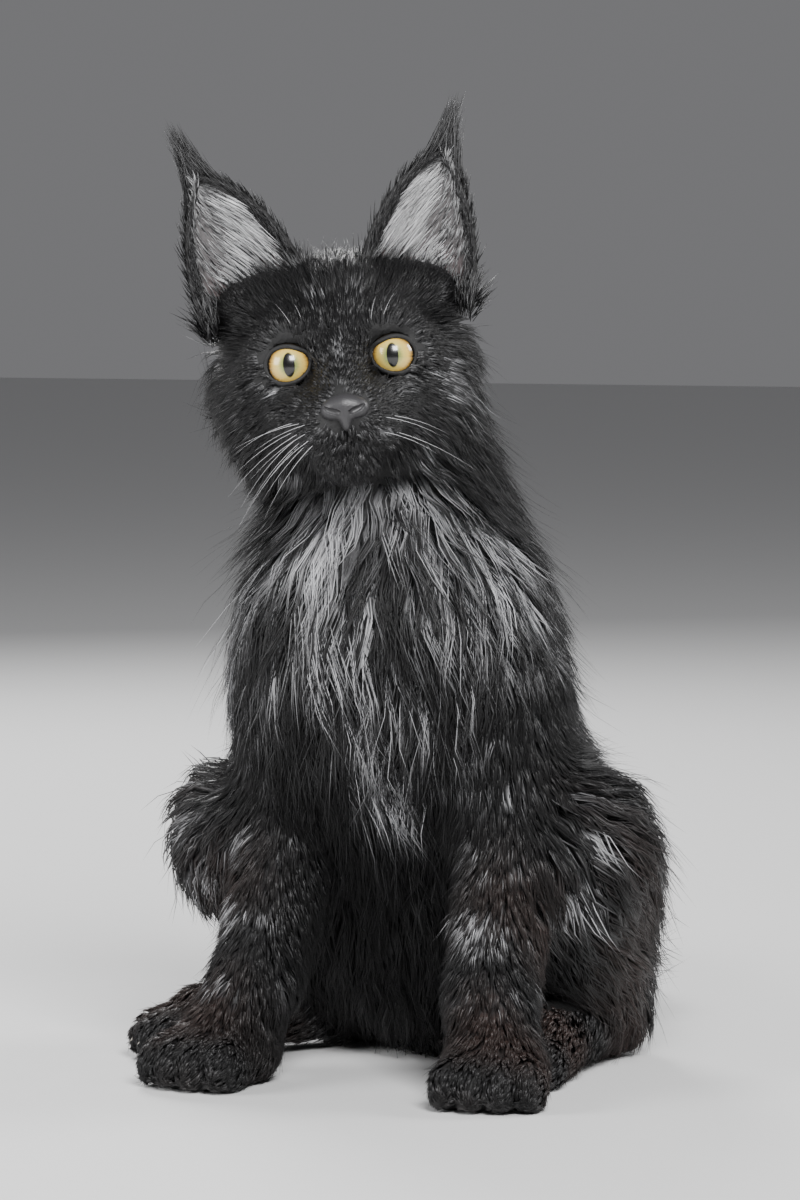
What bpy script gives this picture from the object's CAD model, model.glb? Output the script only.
"""A seated long-haired cat, life size, as a still museum model: its skin, coat, eyes, whiskers and studio.

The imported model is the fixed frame. One blended skin takes the place of all the pieces of flesh, and solid
tufts grow from it up to the tips of the coat. Shapes are worked out in the cat's own axes, where it faces -Y
with its left side towards +X, and each finished piece is moved to where the frame has the cat's left eye.
"""
import logging
import math
from dataclasses import dataclass, field, replace
from enum import Enum
from typing import Callable

import bmesh
import bpy
import numpy as np
from mathutils import Euler, Matrix, Vector
from mathutils.kdtree import KDTree


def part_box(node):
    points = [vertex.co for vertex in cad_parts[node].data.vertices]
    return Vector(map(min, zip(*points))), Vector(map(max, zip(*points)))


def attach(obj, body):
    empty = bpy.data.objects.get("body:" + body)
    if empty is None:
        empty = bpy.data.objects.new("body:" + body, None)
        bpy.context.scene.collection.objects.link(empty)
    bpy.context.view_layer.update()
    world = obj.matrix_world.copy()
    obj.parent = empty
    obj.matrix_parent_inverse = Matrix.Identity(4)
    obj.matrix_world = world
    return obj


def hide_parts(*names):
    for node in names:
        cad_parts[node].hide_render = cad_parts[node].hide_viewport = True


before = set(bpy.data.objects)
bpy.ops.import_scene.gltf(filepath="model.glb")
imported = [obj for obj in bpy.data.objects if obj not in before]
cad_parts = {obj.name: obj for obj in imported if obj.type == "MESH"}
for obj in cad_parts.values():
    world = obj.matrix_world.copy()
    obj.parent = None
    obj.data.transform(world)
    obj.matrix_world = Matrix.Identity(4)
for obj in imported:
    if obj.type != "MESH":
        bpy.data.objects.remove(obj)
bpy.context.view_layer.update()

log = logging.getLogger("cat")

SEED = 23
Points = np.ndarray     # rows of x, y and z, in metres
Values = np.ndarray     # one number for each row


# The cat's measures, in metres unless a name says otherwise

EYE_RADIUS = 0.0112
EYE_APART = 0.0245       # from the face's midline to an eye's centre
EYE_DEPTH = -0.0335      # of an eye's centre, along the head's own Y
HEAD_AT = Vector((-0.017, 0.037, 0.348))
HEAD_TURN = (-2.0, -5.5, 25.0)   # nod, lean to its right, and turn to its left, in degrees
FLOOR = 0.0
BALL_DETAIL = 4
LIMB_SIDES = 32
SKIN_VOXEL = 0.0014
BODY_KEPT = 0.36         # share of the faces that stays, nearly all of the loss being away from the head


def degrees(*angles: float) -> Euler:
    """Angles in degrees as an Euler turn."""
    return Euler([math.radians(a) for a in angles], "XYZ")


HEAD = Matrix.Translation(HEAD_AT) @ (
    degrees(0, 0, HEAD_TURN[2]).to_matrix().to_4x4()
    @ degrees(0, HEAD_TURN[1], 0).to_matrix().to_4x4()
    @ degrees(HEAD_TURN[0], 0, 0).to_matrix().to_4x4()
)


def moved(matrix: Matrix, points: Points) -> Points:
    """Points carried by a matrix."""
    grid = np.array(matrix)
    return points @ grid[:3, :3].T + grid[:3, 3]


def turned(matrix: Matrix, directions: Points) -> Points:
    """Directions turned by a matrix."""
    return directions @ np.array(matrix)[:3, :3].T


def unit(rows: Points) -> Points:
    """Each row at length one."""
    return rows / np.maximum(np.linalg.norm(rows, axis=-1, keepdims=True), 1e-9)


def smooth(values: Values, low: float, high: float) -> Values:
    """Rises softly from 0 at low to 1 at high, or falls where high is less than low."""
    part = np.clip((values - low) / (high - low), 0, 1)
    return part * part * (3 - 2 * part)


# The body as blended masses

@dataclass
class Mass:
    """What every mass has: its coat, how softly it blends, and whether it is carved out of the rest."""

    coat: float | tuple = 0.0       # added to the radii where the coat is whole
    drift: tuple = (0, 0, 0)        # how far the whole coat's middle lies from the flesh's
    blend: float = 0.012
    carve: bool = False
    place: Matrix = field(default_factory=Matrix)


@dataclass
class Egg(Mass):
    """An ellipsoid of flesh."""

    at: tuple = (0, 0, 0)
    radii: tuple = (0.01, 0.01, 0.01)
    turn: tuple = (0, 0, 0)

    def matrix(self) -> Matrix:
        """Its place without its coat."""
        return self.place @ Matrix.Translation(self.at) @ degrees(*self.turn).to_matrix().to_4x4()

    def distance(self, points: Points, share: Values) -> Values:
        """Signed distance to its surface.

        Args:
            points: Where to measure.
            share: How much of the coat to take in, for each point.

        Returns:
            Metres, negative inside.
        """
        grid = np.array(self.matrix())
        shift = turned(self.place, np.array(self.drift, float))
        local = (points - grid[:3, 3] - share[:, None] * shift) @ grid[:3, :3]
        radii = np.array(self.radii) + share[:, None] * (np.zeros(3) + self.coat)
        near = np.linalg.norm(local / radii, axis=1)
        slope = np.linalg.norm(local / radii**2, axis=1) + 1e-9
        return near * (near - 1) / slope

    def add_to(self, mesh: bmesh.types.BMesh) -> None:
        """Adds its bare shape to a mesh."""
        matrix = self.matrix() @ Matrix.Diagonal((*self.radii, 1))
        bmesh.ops.create_icosphere(mesh, subdivisions=BALL_DETAIL, radius=1, matrix=matrix)

    def mirrored(self) -> "Egg":
        """The same across the midline."""
        x, y, z = self.at
        tilt, lean, spin = self.turn
        drift = (-self.drift[0], *self.drift[1:])
        return replace(self, at=(-x, y, z), turn=(tilt, -lean, -spin), drift=drift)


@dataclass
class Limb(Mass):
    """A tapered rod of flesh between two joints."""

    start: tuple = (0, 0, 0)
    end: tuple = (0, 0, 0.01)
    thick: tuple = (0.01, 0.01)

    def distance(self, points: Points, share: Values) -> Values:
        """Signed distance to its surface.

        Args:
            points: Where to measure.
            share: How much of the coat to take in, for each point.

        Returns:
            Metres, negative inside.
        """
        start, end = (np.array(self.place @ Vector(p)) for p in (self.start, self.end))
        along = end - start
        part = np.clip((points - start) @ along / (along @ along), 0, 1)
        middle = start + part[:, None] * along
        radius = self.thick[0] + part * (self.thick[1] - self.thick[0]) + share * self.coat
        return np.linalg.norm(points - middle, axis=1) - radius

    def add_to(self, mesh: bmesh.types.BMesh) -> None:
        """Adds its bare shape to a mesh."""
        start, end = self.place @ Vector(self.start), self.place @ Vector(self.end)
        for point, radius in zip((start, end), self.thick):
            place = Matrix.Translation(point)
            bmesh.ops.create_icosphere(mesh, subdivisions=BALL_DETAIL, radius=radius, matrix=place)
        turn = (end - start).to_track_quat("Z", "Y").to_matrix().to_4x4()
        bmesh.ops.create_cone(
            mesh, cap_ends=True, segments=LIMB_SIDES, radius1=self.thick[0], radius2=self.thick[1],
            depth=(end - start).length, matrix=Matrix.Translation((start + end) / 2) @ turn,
        )


@dataclass
class Group(Mass):
    """Masses that blend with each other first, and then as one with the rest."""

    masses: list = field(default_factory=list)

    def distance(self, points: Points, share: Values) -> Values:
        """Signed distance to the group's surface."""
        return distance(points, self.masses, share)

    def add_to(self, mesh: bmesh.types.BMesh) -> None:
        """Adds the bare shapes of all its masses to a mesh."""
        for mass in self.masses:
            mass.add_to(mesh)


def both(*masses: Egg) -> list[Egg]:
    """Each mass and its mirror image across the midline."""
    return [m for mass in masses for m in (mass, mass.mirrored())]


def smaller(a: Values, b: Values, blend: float) -> Values:
    """Smooth minimum of two distances, rounded over a width of blend."""
    mix = np.clip(0.5 + 0.5 * (b - a) / blend, 0, 1)
    return b + (a - b) * mix - blend * mix * (1 - mix)


def distance(points: Points, masses: list[Mass], share: Values) -> Values:
    """Signed distance from the blended surface of some masses.

    Args:
        points: Where to measure.
        masses: The masses, in the order in which they blend.
        share: How much of the coat to take in, for each point.

    Returns:
        Metres, negative inside.
    """
    total = np.full(len(points), 1.0)
    for mass in masses:
        near = mass.distance(points, share)
        total = -smaller(-total, near, mass.blend) if mass.carve else smaller(total, near, mass.blend)
    return total


def slope_of(
    points: Points, masses: list[Mass], share: Values, step: float = 0.0006
) -> tuple[Values, Points]:
    """The distance at each point and the direction in which it grows.

    Args:
        points: Where to measure.
        masses: The masses, in the order in which they blend.
        share: How much of the coat to take in, for each point.
        step: How far apart the values are taken.

    Returns:
        The distances, and the slopes as rows.
    """
    here = distance(points, masses, share)
    slope = np.empty_like(points)
    for axis in range(3):
        nudge = np.zeros(3)
        nudge[axis] = step
        slope[:, axis] = (distance(points + nudge, masses, share) - here) / step
    return here, slope


def settled(points: Points, masses: list[Mass], share: Values, rounds: int, most: float = 0.004) -> Points:
    """Moves points onto the blended surface, down the slope of its distance.

    Args:
        points: Where they start.
        masses: The masses, in the order in which they blend.
        share: How much of the coat to take in, for each point.
        rounds: How often the points are moved.
        most: The longest move of one round.

    Returns:
        The moved points.
    """
    for _ in range(rounds):
        here, slope = slope_of(points, masses, share)
        size = np.maximum((slope**2).sum(axis=1), 0.25)
        move = slope * (here / size)[:, None]
        far = np.linalg.norm(move, axis=1)
        points = points - move * (np.minimum(far, most) / np.maximum(far, 1e-9))[:, None]
    return points


class Region(Enum):
    """A stretch of the body whose coat is of one kind."""

    HEAD = "head"
    NECK = "neck"
    TORSO = "torso"
    FORELEG = "foreleg"
    PAW = "paw"
    THIGH = "thigh"
    FOOT = "foot"
    TAIL = "tail"


@dataclass(frozen=True)
class Paw:
    """A paw's ball and its four toes, fanned about the direction that it points in."""

    at: tuple
    toe_out: float          # how far it points outwards, in degrees
    width: float            # half the width of its ball
    length: float           # half the length of its ball

    TOES = (-1.5, -0.5, 0.5, 1.5)

    def place(self) -> Matrix:
        """Where it stands on the floor, turned the way it points."""
        return Matrix.Translation((*self.at[:2], 0)) @ degrees(0, 0, self.toe_out).to_matrix().to_4x4()

    def reach(self, toe: float) -> float:
        """How far a toe's middle lies in front of the paw's, the outer toes being set back."""
        return self.length * (0.83 - 0.06 * abs(toe) ** 2)

    def masses(self) -> list[Egg]:
        """The ball, then the toes."""
        place = self.place()
        ball = Egg(
            at=(0, 0, 0.014), radii=(self.width, self.length, 0.0165), coat=0.005, blend=0.006, place=place
        )
        toes = [
            Egg(
                at=(toe * self.width * 0.50, -self.reach(toe), 0.0105), radii=(0.0085, 0.0150, 0.0120),
                turn=(0, 0, 11 * toe), coat=0.004, blend=0.003, place=place,
            )
            for toe in self.TOES
        ]
        return [ball, *toes]


@dataclass(frozen=True)
class Foreleg:
    """A front leg, from shoulder to toes."""

    shoulder: tuple
    elbow: tuple
    wrist: tuple
    paw: tuple
    toe_out: float

    def foot(self) -> Paw:
        """Its paw."""
        return Paw(self.paw, self.toe_out, width=0.0225, length=0.030)

    def masses(self) -> list[Mass]:
        """The upper leg, then the rest as a group."""
        upper = Limb(start=self.shoulder, end=self.elbow, thick=(0.030, 0.0215), coat=0.009)
        lower = [
            Limb(start=self.elbow, end=self.wrist, thick=(0.0210, 0.0160), coat=0.009),
            Limb(start=self.wrist, end=self.paw, thick=(0.0160, 0.0165), coat=0.008, blend=0.008),
            *self.foot().masses(),
        ]
        return [upper, Group(masses=lower, blend=0.005)]


@dataclass(frozen=True)
class HindLeg:
    """A folded hind leg, from hip to toes."""

    hip: tuple
    knee: tuple
    hock: tuple
    paw: tuple
    toe_out: float

    def foot(self) -> Paw:
        """Its paw."""
        return Paw(self.paw, self.toe_out, width=0.0200, length=0.027)

    def masses(self) -> list[Mass]:
        """Thigh, shank, and the foot as a group."""
        foot = [
            Limb(start=self.hock, end=self.paw, thick=(0.0165, 0.0160), coat=0.007),
            *self.foot().masses(),
        ]
        thigh = Limb(start=self.hip, end=self.knee, thick=(0.047, 0.033), coat=0.018, blend=0.02)
        shank = Limb(start=self.knee, end=self.hock, thick=(0.029, 0.0165), coat=0.014, blend=0.016)
        return [thigh, shank, Group(masses=foot, blend=0.006)]


@dataclass
class Body:
    """The whole cat as masses, by region, in the order in which they blend."""

    forelegs: tuple = (
        Foreleg(
            shoulder=(0.050, 0.062, 0.185), elbow=(0.063, 0.058, 0.118), wrist=(0.066, 0.026, 0.046),
            paw=(0.075, 0.012, 0.018), toe_out=16,
        ),
        Foreleg(
            shoulder=(-0.048, 0.062, 0.185), elbow=(-0.052, 0.058, 0.125), wrist=(-0.057, 0.024, 0.048),
            paw=(-0.068, 0.010, 0.018), toe_out=-10,
        ),
    )
    hind_legs: tuple = (
        HindLeg(
            hip=(0.044, 0.142, 0.085), knee=(0.080, 0.086, 0.112), hock=(0.064, 0.165, 0.022),
            paw=(0.066, 0.076, 0.017), toe_out=0,
        ),
        HindLeg(
            hip=(-0.044, 0.142, 0.085), knee=(-0.086, 0.082, 0.112), hock=(-0.058, 0.160, 0.022),
            paw=(-0.110, 0.078, 0.017), toe_out=-28,
        ),
    )
    tail_path: tuple = (
        (0, 0.185, 0.045), (0, 0.225, 0.033), (-0.004, 0.278, 0.027), (-0.022, 0.335, 0.026),
        (-0.054, 0.386, 0.025), (-0.096, 0.424, 0.023), (-0.142, 0.446, 0.020),
    )
    tail_bone: tuple = (0.018, 0.006)
    tail_coat: tuple = (0.024, 0.036)
    region: dict[Region, list[Mass]] = field(default_factory=dict)

    def __post_init__(self) -> None:
        """Works out the masses of each region."""
        trunk = self.trunk_masses()
        hind = [leg.masses() for leg in self.hind_legs]
        fore = [leg.masses() for leg in self.forelegs]
        self.region = {
            Region.NECK: trunk[:2],
            Region.TORSO: trunk[2:],
            Region.TAIL: self.tail_masses(),
            Region.THIGH: [m for leg in hind for m in leg[:2]],
            Region.FOOT: [leg[2] for leg in hind],
            Region.FORELEG: [m for upper, lower in fore for m in (upper, *lower.masses[:2])],
            Region.PAW: [m for _, lower in fore for m in lower.masses[2:]],
            Region.HEAD: self.head_masses(),
        }
        legs = [m for leg in (*hind, *fore) for m in leg]
        self.masses = trunk + self.region[Region.TAIL] + legs + self.region[Region.HEAD]

    def trunk_masses(self) -> list[Mass]:
        """Neck, chest, ribs, loin, rump and shoulders."""
        shoulder = Egg(
            at=(0.044, 0.068, 0.195), radii=(0.025, 0.036, 0.062), turn=(6, 0, 0), blend=0.016, coat=0.016
        )
        return [
            Limb(start=(-0.012, 0.058, 0.322), end=(-0.002, 0.074, 0.245), thick=(0.037, 0.050), coat=0.021),
            Egg(at=(-0.004, 0.050, 0.230), radii=(0.047, 0.034, 0.052), coat=0.036),
            Egg(at=(0, 0.070, 0.200), radii=(0.052, 0.055, 0.075), coat=0.025, turn=(15, 0, 0)),
            Egg(at=(0, 0.096, 0.175), radii=(0.055, 0.060, 0.082), coat=0.022, turn=(25, 0, 0), blend=0.02),
            Egg(at=(0, 0.128, 0.118), radii=(0.060, 0.060, 0.076), coat=0.020, turn=(20, 0, 0), blend=0.02),
            Egg(at=(0, 0.150, 0.068), radii=(0.062, 0.055, 0.062), coat=0.022, blend=0.02),
            *both(shoulder),
        ]

    def tail_masses(self) -> list[Mass]:
        """The tail as a chain of rods, laid on the floor behind the cat."""
        rods, last = [], len(self.tail_path) - 1
        base, tip = self.tail_bone
        thin, full = self.tail_coat
        for n, (start, end) in enumerate(zip(self.tail_path, self.tail_path[1:])):
            thick = tuple(base + (tip - base) * m / last for m in (n, n + 1))
            rods.append(Limb(start=start, end=end, thick=thick, coat=thin + (full - thin) * min(1, n / 3)))
        return rods

    def head_masses(self) -> list[Mass]:
        """Skull, cheeks, muzzle and chin, in the head's axes: X its left, -Y its face, eyes at Z = 0."""
        middle = [
            Egg(at=(0, 0.010, 0.010), radii=(0.040, 0.044, 0.036), coat=0.010),
            Egg(at=(0, -0.018, -0.038), radii=(0.024, 0.032, 0.012), coat=(0.010, 0.004, 0.012), blend=0.010),
            Egg(at=(0, -0.046, -0.0295), radii=(0.0215, 0.0245, 0.0165), coat=0.002, blend=0.010),
            Limb(
                start=(0, -0.026, 0.010), end=(0, -0.0610, -0.0192), thick=(0.0135, 0.0096), coat=0.002,
                blend=0.009,
            ),
        ]
        paired = both(
            Egg(at=(0.0190, -0.026, 0.015), radii=(0.018, 0.014, 0.011), coat=0.004, blend=0.008),
            Egg(
                at=(0.030, -0.012, -0.017), radii=(0.018, 0.026, 0.020), coat=(0.015, 0.010, 0.010),
                drift=(0.003, 0.008, -0.003),
            ),
            Egg(
                at=(0.026, -0.014, -0.035), radii=(0.018, 0.023, 0.014), coat=(0.016, 0.008, 0.016),
                drift=(0.003, 0.008, -0.004), blend=0.010,
            ),
            Egg(
                at=(0.036, 0.012, -0.004), radii=(0.016, 0.026, 0.026), coat=(0.017, 0.014, 0.012),
                drift=(0.004, 0.010, -0.002), blend=0.010,
            ),
            Egg(at=(0.038, 0.008, 0.029), radii=(0.018, 0.017, 0.013), coat=0.003, blend=0.012),
            Egg(at=(0.0350, -0.0215, -0.003), radii=(0.0125, 0.0150, 0.0150), coat=0.003, blend=0.010),
            Egg(at=(0.0215, -0.036, -0.025), radii=(0.0130, 0.0170, 0.0125), coat=0.004, blend=0.010),
            Egg(at=(0.0122, -0.0585, -0.0320), radii=(0.0127, 0.0130, 0.0108), coat=0.0015, blend=0.006),
            Egg(
                at=(0.0265, -0.0555, 0.0), radii=(0.0135, 0.0160, 0.0125), turn=(0, 0, 12), blend=0.004,
                carve=True,
            ),
        )
        chin = Egg(
            at=(0, -0.0525, -0.0470), radii=(0.0140, 0.0130, 0.0088), coat=(0.003, 0.002, 0.005), blend=0.006
        )
        nose = Egg(at=(0, -0.0690, -0.0232), radii=(0.0096, 0.0056, 0.0060), blend=0.0030)
        return [replace(mass, place=HEAD) for mass in (*middle, *paired, chin, nose)]

    def weights(self, points: Points, softness: float = 0.006) -> dict[Region, Values]:
        """How much each point belongs to each region.

        Args:
            points: Points on or over the skin.
            softness: Width over which two regions share a point.

        Returns:
            A share for each region, adding up to 1.
        """
        half = np.full(len(points), 0.5)
        near = {
            name: np.min([m.distance(points, half) for m in masses if not m.carve], axis=0)
            for name, masses in self.region.items()
        }
        least = np.min(list(near.values()), axis=0)
        shares = {name: np.exp((least - far) / softness) for name, far in near.items()}
        total = sum(shares.values())
        return {name: share / total for name, share in shares.items()}


# Meshes

def link(name: str, data: bpy.types.Mesh) -> bpy.types.Object:
    """An object for a mesh, in the scene."""
    made = bpy.data.objects.new(name, data)
    bpy.context.scene.collection.objects.link(made)
    return made


def from_bmesh(name: str, mesh: bmesh.types.BMesh) -> bpy.types.Object:
    """An object for a bmesh, which is freed."""
    data = bpy.data.meshes.new(name)
    mesh.to_mesh(data)
    mesh.free()
    return link(name, data)


def applied(piece: bpy.types.Object) -> bpy.types.Object:
    """The object with its modifiers made real."""
    bpy.context.view_layer.update()
    graph = bpy.context.evaluated_depsgraph_get()
    data = bpy.data.meshes.new_from_object(piece.evaluated_get(graph))
    piece.modifiers.clear()
    old = piece.data
    piece.data = data
    bpy.data.meshes.remove(old)
    return piece


def boolean(piece: bpy.types.Object, other: bpy.types.Object, operation: str) -> bpy.types.Object:
    """Cuts or joins the piece with another closed mesh, which is then removed.

    Args:
        piece: The mesh that is changed.
        other: The cutter or the mesh that is added.
        operation: UNION or DIFFERENCE.

    Returns:
        The piece.
    """
    step = piece.modifiers.new(operation, "BOOLEAN")
    step.operation = operation
    step.solver = "MANIFOLD"
    step.object = other
    applied(piece)
    data = other.data
    bpy.data.objects.remove(other)
    bpy.data.meshes.remove(data)
    return piece


def coords(data: bpy.types.Mesh) -> Points:
    """The points of a mesh as rows."""
    found = np.empty(len(data.vertices) * 3)
    data.vertices.foreach_get("co", found)
    return found.reshape(-1, 3)


def paint(data: bpy.types.Mesh, colours: np.ndarray) -> None:
    """Stores a colour for each point of a mesh, where its material reads it."""
    layer = data.attributes.new("coat_shade", "FLOAT_COLOR", "POINT")
    rgba = np.ones((len(data.vertices), 4), np.float32)
    rgba[:, :3] = colours
    layer.data.foreach_set("color", rgba.ravel())


def tube(path: list[Vector], radii: list[float], sides: int) -> bmesh.types.BMesh:
    """A closed tube along a path, pointed or blunt by its radii.

    Args:
        path: Points along its middle.
        radii: Its radius at each of them.
        sides: How many sides it has.

    Returns:
        A bmesh that the caller frees.
    """
    mesh = bmesh.new()
    add_tube(mesh, path, radii, sides)
    return mesh


def add_tube(mesh: bmesh.types.BMesh, path: list[Vector], radii: list[float], sides: int) -> None:
    """Adds a closed tube along a path to a mesh.

    Args:
        mesh: What it is added to.
        path: Points along its middle.
        radii: Its radius at each of them.
        sides: How many sides it has.
    """
    rings = []
    for n, (point, radius) in enumerate(zip(path, radii)):
        ahead = path[min(n + 1, len(path) - 1)] - path[max(n - 1, 0)]
        turn = ahead.to_track_quat("Z", "Y").to_matrix().to_4x4()
        made = bmesh.ops.create_circle(
            mesh, segments=sides, radius=radius, matrix=Matrix.Translation(point) @ turn
        )
        rings.append(made["verts"])
    faces = []
    for low, high in zip(rings, rings[1:]):
        for k in range(sides):
            j = (k + 1) % sides
            faces.append(mesh.faces.new((low[k], low[j], high[j], high[k])))
    faces.append(mesh.faces.new(rings[0][::-1]))
    faces.append(mesh.faces.new(rings[-1]))
    bmesh.ops.recalc_face_normals(mesh, faces=faces)


# Markings of a black smoke coat

@dataclass(frozen=True)
class Mark:
    """A soft patch where the silver of the coat shows."""

    at: tuple
    radii: tuple
    silver: float
    on_head: bool = False
    twin: bool = True       # whether the other side has the same

    def at_points(self, points: Points, local: Points) -> Values:
        """Its strength at each point.

        Args:
            points: Points in the cat's axes.
            local: The same in the head's axes.

        Returns:
            From 0 to its silver.
        """
        where = local if self.on_head else points
        strength = np.zeros(len(points))
        for side in (1, -1) if self.twin else (1,):
            off = (where - np.array(self.at) * (side, 1, 1)) / self.radii
            strength = np.maximum(strength, np.exp(-1.4 * (off**2).sum(axis=1)))
        return self.silver * strength


@dataclass(frozen=True)
class Markings:
    """Where the silver roots of the dark coat show through, and where it has a brown cast."""

    black: tuple = (0.0085, 0.0082, 0.0088)
    silver: tuple = (0.500, 0.500, 0.515)
    brown: tuple = (0.060, 0.030, 0.022)
    marks: tuple = (
        Mark((0.012, -0.015, 0.252), (0.055, 0.060, 0.040), 1.00, twin=False),
        Mark((-0.020, 0.000, 0.235), (0.060, 0.060, 0.055), 0.66, twin=False),
        Mark((0.018, -0.005, 0.135), (0.032, 0.070, 0.070), 1.00, twin=False),
        Mark((0.005, -0.005, 0.195), (0.060, 0.070, 0.045), 0.62, twin=False),
        Mark((0.060, 0.045, 0.210), (0.045, 0.070, 0.080), 0.62),
        Mark((0.070, 0.120, 0.150), (0.030, 0.060, 0.050), 0.35),
        Mark((0.050, -0.010, -0.030), (0.028, 0.040, 0.034), 0.85, on_head=True, twin=False),
        Mark((-0.050, -0.010, -0.034), (0.022, 0.030, 0.024), 0.34, on_head=True, twin=False),
        Mark((0.011, -0.034, 0.036), (0.006, 0.020, 0.014), 0.42, on_head=True),
        Mark((0.000, -0.050, 0.006), (0.004, 0.016, 0.018), 0.30, on_head=True, twin=False),
        Mark((0.033, -0.046, -0.014), (0.011, 0.014, 0.006), 0.60, on_head=True),
        Mark((0.016, -0.066, -0.036), (0.008, 0.010, 0.006), 0.42, on_head=True),
        Mark((0.030, -0.010, 0.026), (0.012, 0.030, 0.008), 0.34, on_head=True),
        Mark((0.020, 0.060, 0.012), (0.050, 0.030, 0.020), 0.50, twin=False),
        Mark((0.100, 0.075, 0.035), (0.020, 0.030, 0.022), 0.45),
    )
    band_height: float = 0.034
    band_silver: float = 0.50
    leg_top: float = 0.165
    paw_top: float = 0.046

    def silver_at(self, points: Points) -> Values:
        """How much of the strands at some points is silver, from 0 to 1."""
        local = moved(HEAD.inverted(), points)
        found = np.max([mark.at_points(points, local) for mark in self.marks], axis=0)
        wave = 0.5 + 0.5 * np.sin(math.tau * points[:, 2] / self.band_height + 6 * np.abs(points[:, 0]))
        on_leg = smooth(np.abs(points[:, 0]), 0.030, 0.045) * smooth(points[:, 1], 0.085, 0.065)
        on_leg *= smooth(points[:, 2], self.leg_top, self.leg_top - 0.04)
        on_leg *= smooth(points[:, 2], self.paw_top - 0.012, self.paw_top)
        return np.clip(np.maximum(found, self.band_silver * wave * on_leg), 0, 1)

    def brown_at(self, points: Points) -> Values:
        """How brown the coat is at some points, from 0 to 1."""
        low = smooth(points[:, 2], 0.17, 0.05) * smooth(np.abs(points[:, 0]), 0.03, 0.08)
        return 0.35 * low * (0.5 + 0.5 * np.sin(90 * points[:, 1] + 60 * points[:, 2]))

    def colour(self, silver: Values, brown: Values, along: Values) -> np.ndarray:
        """The colour of a strand.

        Args:
            silver: How much of it is silver.
            brown: How brown it is.
            along: Where on it, from 0 at the root to 1 at the tip.

        Returns:
            Rows of red, green and blue.
        """
        reach = 0.18 + 0.98 * silver
        pale = smooth(along / reach, 1.15, 0.60) * (0.13 + 0.87 * silver)
        dark = np.array(self.black) + brown[..., None] * (np.array(self.brown) - self.black)
        return dark + pale[..., None] * (np.array(self.silver) - dark)


# Lie of the coat

@dataclass(frozen=True)
class CoatPlan:
    """The strands of one region."""

    reach: float        # length for each metre of the coat's depth
    base: float         # length where the coat has no depth
    width: float        # of a strand where it is widest
    clump: float        # radius of the patch that a tuft roots in
    gather: float       # how far the strands of a tuft have met at its tip
    deep: float         # depth of the whole coat
    tips: tuple = (0.62, 1.04)      # where tufts end, as shares of the coat's depth


PLANS: dict[Region, CoatPlan] = {
    Region.HEAD: CoatPlan(2.20, 0.0042, 0.00052, 0.0022, 0.50, 0.017),
    Region.NECK: CoatPlan(2.25, 0.0100, 0.00070, 0.0062, 0.80, 0.034),
    Region.TORSO: CoatPlan(2.15, 0.0080, 0.00068, 0.0062, 0.75, 0.025),
    Region.FORELEG: CoatPlan(1.75, 0.0040, 0.00055, 0.0030, 0.55, 0.010),
    Region.PAW: CoatPlan(1.60, 0.0050, 0.00055, 0.0021, 0.25, 0.006),
    Region.THIGH: CoatPlan(2.30, 0.0080, 0.00088, 0.0060, 0.75, 0.018),
    Region.FOOT: CoatPlan(1.60, 0.0055, 0.00060, 0.0027, 0.30, 0.008),
    Region.TAIL: CoatPlan(1.80, 0.0090, 0.00085, 0.0074, 0.72, 0.034),
}


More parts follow.
